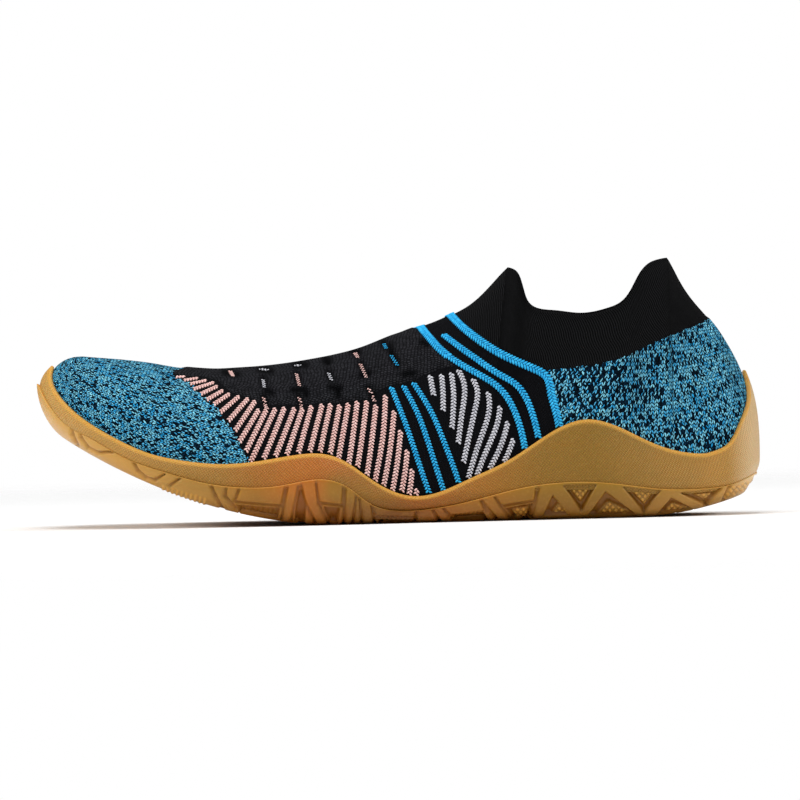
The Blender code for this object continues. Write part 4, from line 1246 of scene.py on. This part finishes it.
def rubber_finish(name, net):
    """Amber gum rubber with a tone that wanders at random. Painted light makes it paler along its thin lip
    and at the toe and heel ends, painted shade makes it darker low down, under the arch, in the pockets and
    between the net's domes, and the raised parts get a painted highlight. It comes with or without the net."""
    s = Shader(name)
    position = s.position()
    x, _, z = s.split(position)
    cloud = s.noise(position, 38.0, 3.0)
    warm = s.noise(position, 30.0, 2.0).ramp(0.35, 0.6) * (1 - ((x + 0.015) * 14).abs()).clip(0, 1)
    olive = (1 - ((x - 0.075) * 16).abs()).clip(0, 1)
    speck = s.noise(position, 900.0, 2.0)
    ends = ((x * -8.6).math("MAXIMUM", x * 6.4) - 0.48).clip(0, 1)
    low = (z * -60.0 + 0.75).clip(0, 1)
    arch = (1 - ((x + 0.003) * 36).abs()).clip(0, 1) * (z * -160.0 + 1.7).clip(0, 1)
    colour = s.mix(cloud.ramp(0.35, 0.68), srgb(152, 108, 32), srgb(170, 114, 31))
    colour = s.mix(warm * 0.8, colour, srgb(194, 101, 29))
    colour = s.mix(olive * 0.75, colour, srgb(136, 106, 28))
    # Painted shade: darker low down.
    colour = s.mix(low * 0.75, colour, srgb(122, 66, 8))
    # Painted shade: darker low down near the middle, under the arch.
    colour = s.mix(arch * 0.6, colour, srgb(96, 50, 6))
    # Painted light: paler towards the toe and heel ends, and paler still at the very back of the heel.
    colour = s.mix(ends, colour, srgb(220, 172, 92))
    colour = s.mix(x.ramp(0.126, 0.138) * 0.7, colour, srgb(236, 206, 160))
    colour = s.mix((speck - 0.5).clip(0, 1) * 0.4, colour, srgb(216, 160, 80))
    height = speck * 0.02
    if net:
        u, v = s.uv()
        cells = [(diagonal * (math.pi / NET_PITCH)).sin().abs() for diagonal in (u + v, u - v)]
        dome = cells[0] * cells[1]
        # Painted shade: darker in the net's grooves between its domes.
        colour = s.mix((1 - dome.ramp(0.0, 0.5)) * 0.5, colour, srgb(118, 78, 32))
        # Painted highlight: a paler, yellower band along the lip.
        colour = s.mix(s.value("lip") * 0.8, colour, srgb(218, 160, 64))
        height = height + dome * 0.16
    else:
        shade_and_highlight = s.value("shade_and_highlight")
        # Painted shade where the value is above zero, in pockets, grooves, channels and hatch lines, and a
        # painted highlight where it is below zero, on the ledge, lugs and pads.
        colour = s.mix(shade_and_highlight.ramp(0.1, 1.6) * 0.6, colour, srgb(120, 66, 8))
        colour = s.mix((0 - shade_and_highlight).ramp(0.0, 0.5) * 0.6, colour, srgb(216, 156, 66))
    normal = s.bump(height, MM)
    return s.finish(Base_Color=colour, Roughness=0.42, Normal=normal, Subsurface_Weight=0.10,
                    Subsurface_Scale=0.003, Specular_IOR_Level=0.28)


net_rubber = rubber_finish("netted_gum_rubber", True)
plain_rubber = rubber_finish("gum_rubber", False)
build_side_wall(net_rubber)

# %% [markdown]
# ## The tread ring
#
# Below the wall a ring of lugs runs round the sole. At the heel it is a truss: struts between triangular
# pockets, each with a small hatched pad. Further forward it is a row of blocks with grooves between them.
# The ring's base form is a rounded band that turns under to the tread. The pockets, pads and grooves are
# laid out in the side view as polygons and lines, and pushed in along the normal.

# %% Lugs in the side view
POCKETS = (
    ((549.7, 493.5), (539, 517), (567, 515.5)), ((602.6, 490), (583, 517.5), (635, 516)),
    ((668, 496.5), (652, 515.5), (694, 511)), ((559, 484), (595.5, 483), (578.4, 513.5)),
    ((618, 485.3), (660, 488.6), (640.4, 514.5)), ((674.5, 492), (722, 486.5), (703, 508)),
    ((297, 488), (301.5, 487.5), (305.5, 505), (303, 524), (291, 524), (293.5, 505)),
    ((320, 505.5), (339, 507), (335, 524), (327, 524)), ((233, 504), (279, 507.5), (275, 524), (240, 522)),
    ((449, 515.5), (481.5, 511.8), (487, 524), (452, 524)), ((501, 508), (532, 502.5), (527, 522),
    (511, 523)),
    ((374, 518.5), (411, 519.5), (411, 524), (376, 524)), ((720, 503), (746, 492), (742, 503), (722, 511)),
)
LUGS = (
    ((237.7, 488.6), (284.2, 486), (279.7, 505.8), (232.6, 502)), ((317, 481), (342, 484), (340.3, 505),
    (318.5, 502)),
    ((372, 504), (413.7, 511), (412.4, 518), (372.9, 517)), ((441.8, 510), (478.6, 501), (483, 511),
    (447.6, 516)),
    ((493.5, 499), (533.7, 488), (532.5, 501), (499.2, 505.8)), ((286, 487), (296.5, 486), (289, 524),
    (278.5, 524)),
    ((300, 484), (314, 481), (317, 503), (326, 524), (311, 524), (303.5, 502)),
    ((345, 487), (355, 492), (350, 524), (341.5, 524)), ((358, 493), (369, 501), (371, 524), (359.5, 524)),
    ((479.5, 501), (492, 498), (508, 524), (495.5, 524)), ((537, 489), (549, 486), (541.7, 524),
    (528, 524)),
    ((212, 486), (224, 487), (223, 496), (231, 508), (221, 508), (215, 496)),
    ((227, 488), (236.5, 489), (231.5, 501), (225.5, 496)),
    ((79, 430), (80.5, 438), (87.5, 448), (97.4, 453), (112.8, 451.6), (100, 444), (88, 436)),
    ((133, 462), (136.6, 470.5), (145, 478), (153.5, 480.3), (163.3, 474), (148, 468)),
)
PADS = (
    ((555, 502), (547, 515), (566, 514)), ((604.5, 500), (591.5, 516), (632.5, 515)),
    ((669, 502.5), (659, 513.5), (690, 510.5)), ((566, 488), (588, 487.5), (577.5, 504.5)),
    ((627, 489.5), (651.5, 491.5), (641, 507)), ((689, 494), (713, 492), (702.5, 502)),
    ((507, 509), (528, 505.5), (523.5, 519), (513, 519.5)),
)
HATCHED_BLOCK = ((729, 486), (752, 478.8), (744, 491), (720.5, 500.5))
GROOVES = (
    ((70.7, 424), (72, 435.4), (77, 446)), ((79, 430), (80.5, 438), (87.5, 448), (97.4, 453),
    (112.8, 451.6)),
    ((133, 461), (136.6, 470.5), (145, 478), (153.5, 480.3), (163.3, 474)), ((168, 486), (178.7, 478.2)),
    ((210.3, 485), (213.8, 495.7), (222, 512)), ((225, 486.5), (223.6, 495.7), (234, 509)),
    ((237.7, 488.6), (232.6, 502)), ((232.6, 502), (279.7, 506)), ((284.2, 485), (279.7, 505.8)),
    ((286, 487), (278, 524)), ((296.8, 486), (288.5, 524)), ((299.5, 483), (303.3, 502), (313, 524)),
    ((314.5, 480), (316.7, 503), (326, 524)), ((318, 502.5), (340.3, 505.3)), ((342, 484), (340.3, 505)),
    ((344, 486), (341, 524)), ((355, 491), (350, 524)), ((357.6, 492), (359, 524)), ((369.5, 500),
    (372, 524)),
    ((372.5, 517), (412.4, 518.3)), ((413.7, 510.5), (412, 524)), ((430, 509), (438, 524)),
    ((441, 508), (453, 524)), ((447.6, 516), (483, 511.5)), ((478.6, 500), (483, 511.5)),
    ((479, 500.5), (497, 524)), ((492.3, 497), (509, 522)), ((499.2, 505.8), (532.5, 501)),
    ((534, 487), (532.5, 501)), ((536, 488), (527.5, 522)), ((728.5, 483.5), (716, 510)),
    ((754.5, 476.5), (744, 494)),
)
RIB_ROWS = (((243, 511), (273, 515), 7), ((377, 520.5), (409, 521.5), 8), ((455, 517), (481, 515), 7),
            ((162, 489), (203, 501), 10))
POCKET_DEPTH, PAD_RISE, GROOVE_DEPTH, GROOVE_RADIUS = 2.4 * MM, 1.6 * MM, 1.3 * MM, 0.6 * MM
POCKET_EDGE, HATCH_PITCH, HATCH_DEPTH = 0.9 * MM, 2.3 * MM, 0.4 * MM
LUG_RISE, LUG_EDGE = 0.8 * MM, 1.2 * MM
HATCH_SLANT, HATCH_FROM, HATCH_SOFT = 0.8, 0.64, 0.3
PAD_SHARPNESS, RIB_RISE, RIB_RADIUS = 1.4, 0.5 * MM, 0.5 * MM
print("pockets", len(POCKETS), "lugs", len(LUGS), "pads", len(PADS), "grooves", len(GROOVES))


def distance_inside(x, z, corners):
    """The distance into a polygon of the side view, negative outside: to the nearest edge, with the sign
    of an even-odd count of the edges that a level ray crosses."""
    at = side_view(corners)
    nearest, inside = np.full(x.shape, 1.0), np.zeros(x.shape, bool)
    for (ax, az), (bx, bz) in zip(at, np.roll(at, -1, axis=0)):
        nearest = np.minimum(nearest, distance_to_edge(x, z, (ax, az), (bx, bz)))
        crosses = (az > z) != (bz > z)
        inside ^= crosses & (x < (bx - ax) * (z - az) / np.where(bz == az, 1e-9, bz - az) + ax)
    return np.where(inside, nearest, -nearest)


def hatch(x, z):
    """Two sets of slanting lines, 1 on a line and 0 between."""
    lines = [np.abs(((x + way * z * HATCH_SLANT) / HATCH_PITCH) % 1 - 0.5) * 2 for way in (-1, 1)]
    return np.maximum(*(smooth_step((line - HATCH_FROM) / HATCH_SOFT) for line in lines))


def ring_relief(x, z):
    """How far the ring's face stands out. Lugs rise, pockets lie in and pads rise from them, and then the
    grooves are cut in and the rows of fine ribs added."""
    relief = np.zeros(x.shape)
    for corners in LUGS:
        relief = np.maximum(relief, LUG_RISE * smooth_step(distance_inside(x, z, corners) / LUG_EDGE))
    for corners in POCKETS:
        depth = smooth_step(distance_inside(x, z, corners) / POCKET_EDGE)
        relief = np.minimum(relief, -POCKET_DEPTH * depth)
    for corners in PADS:
        pad = smooth_step(distance_inside(x, z, corners) / POCKET_EDGE * PAD_SHARPNESS)
        relief += pad * (PAD_RISE - HATCH_DEPTH * hatch(x, z))
    relief -= HATCH_DEPTH * hatch(x, z) * smooth_step(distance_inside(x, z, HATCHED_BLOCK) / POCKET_EDGE)
    for line in GROOVES:
        for ends in zip(line, line[1:]):
            groove = np.exp(-((distance_to_segment(x, z, ends) / GROOVE_RADIUS) ** 2))
            relief = np.where(relief > -GROOVE_DEPTH, relief * (1 - groove) - GROOVE_DEPTH * groove, relief)
    for start, end, count in RIB_ROWS:
        for share in np.linspace(0, 1, count):
            px = start[0] + (end[0] - start[0]) * share
            py = start[1] + (end[1] - start[1]) * share
            rib = distance_to_segment(x, z, ((px + 0.7, py - 3.0), (px - 0.7, py + 3.5)))
            relief += RIB_RISE * np.exp(-((rib / RIB_RADIUS) ** 2))
    return relief


# %% Tread ring
TURNED_UNDER = 6.3 * MM
LEDGE_ROUND = 0.35 * MM
RING_ROWS, RING_SPACING = 38, 0.5 * MM
ROW_POWER, TURN_POWER, RING_FADE, PAD_SHOWS = 1.35, 0.55, 0.08, -1.2 * MM


def circle_out(height, radius):
    """How far a circle round the feather's turn stands out of the feather line at a height."""
    drop = np.clip((BED_HEIGHT + GAP + FEATHER_RADIUS - height) / radius, 0, 1)
    return radius * np.sqrt(1 - drop * drop) - FEATHER_RADIUS


def grid_normals(grid):
    """Unit normals of a closed loop of rows, from the cross product of differences both ways."""
    along = np.roll(grid, -1, axis=1) - np.roll(grid, 1, axis=1)
    down = np.gradient(grid, axis=0)
    normal = np.cross(along, down)
    return normal / np.linalg.norm(normal, axis=-1, keepdims=True)


def build_tread_ring(material):
    around, sides = round_the_shoe(even_angles(RING_SPACING))
    foot, out = outline(around, sides), outward(around, sides)
    share = (foot[:, 0] + out[:, 0] * RUBBER_WALL) / LENGTH
    ring = ring_height(share)
    widest = circle_out(ring, FEATHER_RADIUS + GAP + RUBBER_WALL)

    def row(offset, height):
        return above_tread(foot + out * np.reshape(offset, (-1, 1)), height)

    rise = np.linspace(1, 0, RING_ROWS) ** ROW_POWER
    reach = TURNED_UNDER + widest
    side = np.array([row(reach * np.sin(math.pi / 2 * r**TURN_POWER) - TURNED_UNDER, ring * r)
                     for r in rise])
    normal = grid_normals(side)
    facing = np.sign(np.sum(normal[0, :, :2] * out, axis=-1).mean())
    x, z = seen(side)
    relief = ring_relief(x, z) * smooth_step((1 - rise) / RING_FADE)[:, None]
    hatched = np.max([distance_inside(x, z, corners) for corners in (*PADS, HATCHED_BLOCK)], axis=0) > 0
    side = side + normal * facing * relief[..., None]
    side[..., 2] = np.maximum(side[..., 2], 0)
    # Painted shade and highlight: darker where the face lies in and paler where it stands out, with dark
    # hatch lines on the pads.
    shade_and_highlight = np.where(hatched & (relief > PAD_SHOWS), 1.4 * hatch(x, z) - 0.4, -relief / MM)
    ledge = [row(widest - 2.2 * MM, ring - LEDGE_ROUND), row(widest - 1.1 * MM, ring + LEDGE_ROUND * 0.6)]
    ledge += [row(widest + LEDGE_ROUND * (math.cos(turn) - 1), ring + LEDGE_ROUND * (math.sin(turn) - 0.4))
              for turn in np.radians([80, 55, 30])]
    back = []
    for part in (1.0, 0.6, 0.25, 0.0):
        over_bed = np.maximum(ring - HIDDEN - BED_HEIGHT, 0)
        height = np.minimum(BED_HEIGHT, ring - HIDDEN) + (1 - part) * over_bed
        back.append(row(circle_out(height, FEATHER_RADIUS + GAP) + WALL_GAP, height))
    floor_in = [row(-TURNED_UNDER - MM, 0 * ring + 0.4 * MM), row(-TURNED_UNDER - MM, 0 * ring + 3 * MM)]
    grid = np.concatenate([ledge, side, floor_in, back])
    # Painted highlight on the ledge's rounded top.
    raised = np.repeat([0.0, 0.0, -0.2, -0.5, -0.35], len(around)).reshape(5, -1)
    shade_and_highlight = np.concatenate([raised, shade_and_highlight, np.zeros((len(floor_in) + len(back), len(around)))])
    faces = loop_faces(len(grid), len(around), closed_rows=True)
    piece = grid_piece("rubber_tread_ring", grid, faces, material, values={"shade_and_highlight": shade_and_highlight})
    return settle(piece, "gum_rubber", "outsole")


build_tread_ring(plain_rubber)

# %% [markdown]
# ## The tread and the insole
#
# Both are filled in from an edge row to the middle line. The tread's underside has channels that bend to
# a chevron and join the grooves of the ring, and lugs with a shallow hatched face. The insole is dished
# under the heel, rises at the arch, and has a rounded edge.

# %% Tread
CHANNELS = (0.0645, 0.105, 0.133, 0.166, 0.2455, 0.266, 0.36, 0.40, 0.4165, 0.4665, 0.5525, 0.623, 0.675,
            0.711, 0.7445, 0.794, 0.8345, 0.882, 0.919)
CHEVRON, CHANNEL_RADIUS = 0.008, 1.3 * MM
TREAD_SPACING, TREAD_ROWS, TREAD_INSET, TREAD_GAP = 0.8 * MM, 52, 0.2 * MM, 0.1 * MM
NET_SIZE, NET_DEPTH = 0.5, 0.45 * MM


def to_the_middle(row, steps):
    """Rows from an edge to the line midway between the row and its own mirror on the other side."""
    midway = (row + row[::-1]) / 2
    return np.array([row + (midway - row) * step for step in steps])


def tread_relief(station, across):
    """Channels across the tread. The depth is an exponential of minus the fourth power of the distance to a
    chevron line, which gives each channel a flat floor and soft edges."""
    relief = np.zeros(station.shape)
    for centre in CHANNELS:
        line = centre + CHEVRON * (1 - np.abs(across)) * math.sin(math.pi * centre)
        gap = (station - line) * LENGTH / CHANNEL_RADIUS
        relief = np.maximum(relief, TREAD_DEPTH * np.exp(-(gap**4)))
    return relief


def build_tread(material):
    around, sides = two_sided(even_angles(TREAD_SPACING))
    foot, out = outline(around, sides), outward(around, sides)
    edge = above_tread(foot - out * (TURNED_UNDER + TREAD_INSET), 0 * around)
    steps = np.linspace(1, 0, TREAD_ROWS)
    under = to_the_middle(edge, steps)
    station = (under[..., 0] - RUBBER_WALL) / (LENGTH - 2 * RUBBER_WALL)
    relief = tread_relief(station, 1 - steps[:, None] + 0 * station)
    net = hatch(under[..., 0] * NET_SIZE, under[..., 1] * NET_SIZE) * smooth_step(steps / 0.1)[:, None]
    under[..., 2] = lift(under[..., 0] / LENGTH) + np.maximum(relief, net * NET_DEPTH)
    top_edge = above_tread(foot - out * (TURNED_UNDER + TREAD_INSET), 0 * around + BED_HEIGHT - TREAD_GAP)
    over = to_the_middle(top_edge, np.linspace(0, 1, 6))
    over[..., 2] = lift(over[..., 0] / LENGTH) + BED_HEIGHT - TREAD_GAP
    grid = np.concatenate([under, over])
    # Painted shade in the channels of the tread.
    shade_and_highlight = np.concatenate([relief / MM, 0 * over[..., 0]])
    piece = grid_piece("rubber_tread", grid, loop_faces(len(grid), len(around)), material,
                       values={"shade_and_highlight": shade_and_highlight})
    return settle(piece, "gum_rubber", "outsole")


build_tread(plain_rubber)

# %% Insole
INSOLE_THICK, HEEL_DISH, ARCH_RISE = 3.4 * MM, 0.8 * MM, 0.9 * MM
THREAD, INSOLE_SPACING = 1.1 * MM, 1.6 * MM


def insole_finish():
    """Dark woven cloth on foam: a plain weave of two sets of threads."""
    s = Shader("insole_cloth")
    x, y, _ = s.split(s.position())
    warp, weft = ((place * (2 * math.pi / THREAD)).sin() for place in (x, y))
    weave = (warp * weft) * 0.5 + 0.5
    worn = s.noise(s.position(), 60.0, 3.0)
    colour = s.mix(weave, srgb(20, 22, 26), srgb(58, 62, 70))
    colour = s.mix(worn.ramp(0.45, 0.8) * 0.4, colour, srgb(80, 84, 92))
    return s.finish(Base_Color=colour, Roughness=0.9, Normal=s.bump(weave, 0.2 * MM), Sheen_Weight=0.1)


def build_insole(material):
    around, sides = two_sided(even_angles(INSOLE_SPACING))
    last = Last(around, sides)
    inward = np.concatenate([-outward(around, sides), np.zeros((len(around), 1))], axis=-1)
    over = 0 * around - KNIT_WALL - GAP

    def row(rise, offset, inset):
        return last.out(0 * around + rise, offset) + inward * inset

    edge = [row(-1.0, 0 * over, 0.9 * GAP), row(-1.0, over, GAP), row(-0.72, over, GAP / 2),
            row(-0.52, over, GAP / 2)]
    rim = edge[-1]
    lip, top = (above_tread(rim[:, :2] + inward[:, :2] * inset * MM,
                            0 * around + BED_HEIGHT + GAP + INSOLE_THICK * share)
                for inset, share in ((0.5, 0.93), (1.3, 1.0)))
    steps = np.linspace(0, 1, 24)
    top_rows = to_the_middle(top, steps)
    station = top_rows[..., 0] / LENGTH
    dish = HEEL_DISH * np.exp(-(((station - 0.84) / 0.09) ** 2))
    arch = ARCH_RISE * np.exp(-(((station - 0.55) / 0.12) ** 2)) * np.where(sides > 0, 1.0, 0.25)
    swell = smooth_step(steps / 0.5)[:, None]
    near_edge = np.exp(-(((steps - 0.25) / 0.25) ** 2))[:, None] * smooth_step(steps / 0.1)[:, None]
    top_rows[..., 2] += arch * near_edge - dish * swell
    bottom_rows = to_the_middle(edge[0], np.linspace(1, 0, 8))[:-1]
    grid = np.concatenate([bottom_rows, edge, [lip], top_rows])
    half = len(around) // 2
    grid[:, half] = grid[:, half - 1]
    grid[:, -1] = grid[:, 0]
    piece = grid_piece("insole_cloth_piece", grid, loop_faces(len(grid), len(around)), material)
    return settle(piece, "insole_cloth", "insole")


build_insole(insole_finish())

# %% [markdown]
# ## Floor and light
#
# The shoe stands on a wide pale floor under a white sky. A broad soft light from above and in front shapes
# the side, weaker ones from both ends pick out the rubber's lip and the collar, and one from behind lights
# the far side.

# %% Floor and lights
FLOOR_SIZE, FLOOR_DROP, FLOOR_FADE = 30.0, 0.0002, (0.3, 0.9)
LIGHTS = (
    ("key_light", (-0.15, -0.45, 1.7), 0.9, 16.5),
    ("toe_light", (-1.2, -0.35, 0.8), 0.5, 10),
    ("heel_light", (1.2, -0.35, 0.8), 0.5, 9),
    ("back_light", (0.1, 0.6, 1.5), 0.9, 6),
)


def add_floor():
    """A square floor that fades out with the distance, and lies a hair below the tread."""
    mesh = bpy.data.meshes.new("floor")
    corners = [(way_x * FLOOR_SIZE, way_y * FLOOR_SIZE, 0) for way_x, way_y in ((-1, -1), (1, -1),
    (1, 1), (-1, 1))]
    mesh.from_pydata(corners, [], [(0, 1, 2, 3)])
    s = Shader("pale_floor")
    x, y, _ = s.split(s.position())
    away = (x * x + y * y).math("SQRT")
    mesh.materials.append(s.finish(Base_Color=srgb(246, 246, 246), Roughness=0.7, Specular_IOR_Level=0.1,
                                   Alpha=1 - away.ramp(*FLOOR_FADE)))
    floor = bpy.data.objects.new("floor", mesh)
    floor.location = (0, 0, -FLOOR_DROP)
    bpy.context.scene.collection.objects.link(floor)


def add_light(name, place, size, power, aim=(0, 0, 0.05)):
    """A round soft light at a place, turned towards the shoe."""
    data = bpy.data.lights.new(name, "AREA")
    data.shape, data.size, data.energy = "DISK", size, power
    light = bpy.data.objects.new(name, data)
    light.location = place
    light.rotation_euler = (Vector(place) - Vector(aim)).to_track_quat("Z", "Y").to_euler()
    bpy.context.scene.collection.objects.link(light)


add_floor()
for light in LIGHTS:
    add_light(*light)
print("lights", [name for name, *_ in LIGHTS])


def add_sky(shown, felt):
    """A white sky whose strength is one value where the camera sees it and another as light."""
    world = bpy.data.worlds.new("white_sky")
    world.use_nodes = True
    tree = world.node_tree
    background = tree.nodes["Background"]
    background.inputs["Color"].default_value = (1, 1, 1, 1)
    ray = tree.nodes.new("ShaderNodeLightPath")
    strength = tree.nodes.new("ShaderNodeMapRange")
    tree.links.new(ray.outputs["Is Camera Ray"], strength.inputs["Value"])
    strength.inputs["To Min"].default_value, strength.inputs["To Max"].default_value = felt, shown
    tree.links.new(strength.outputs["Result"], background.inputs["Strength"])
    bpy.context.scene.world = world


add_sky(shown=1.0, felt=0.2)
scene = bpy.context.scene
scene.view_settings.view_transform = "Standard"
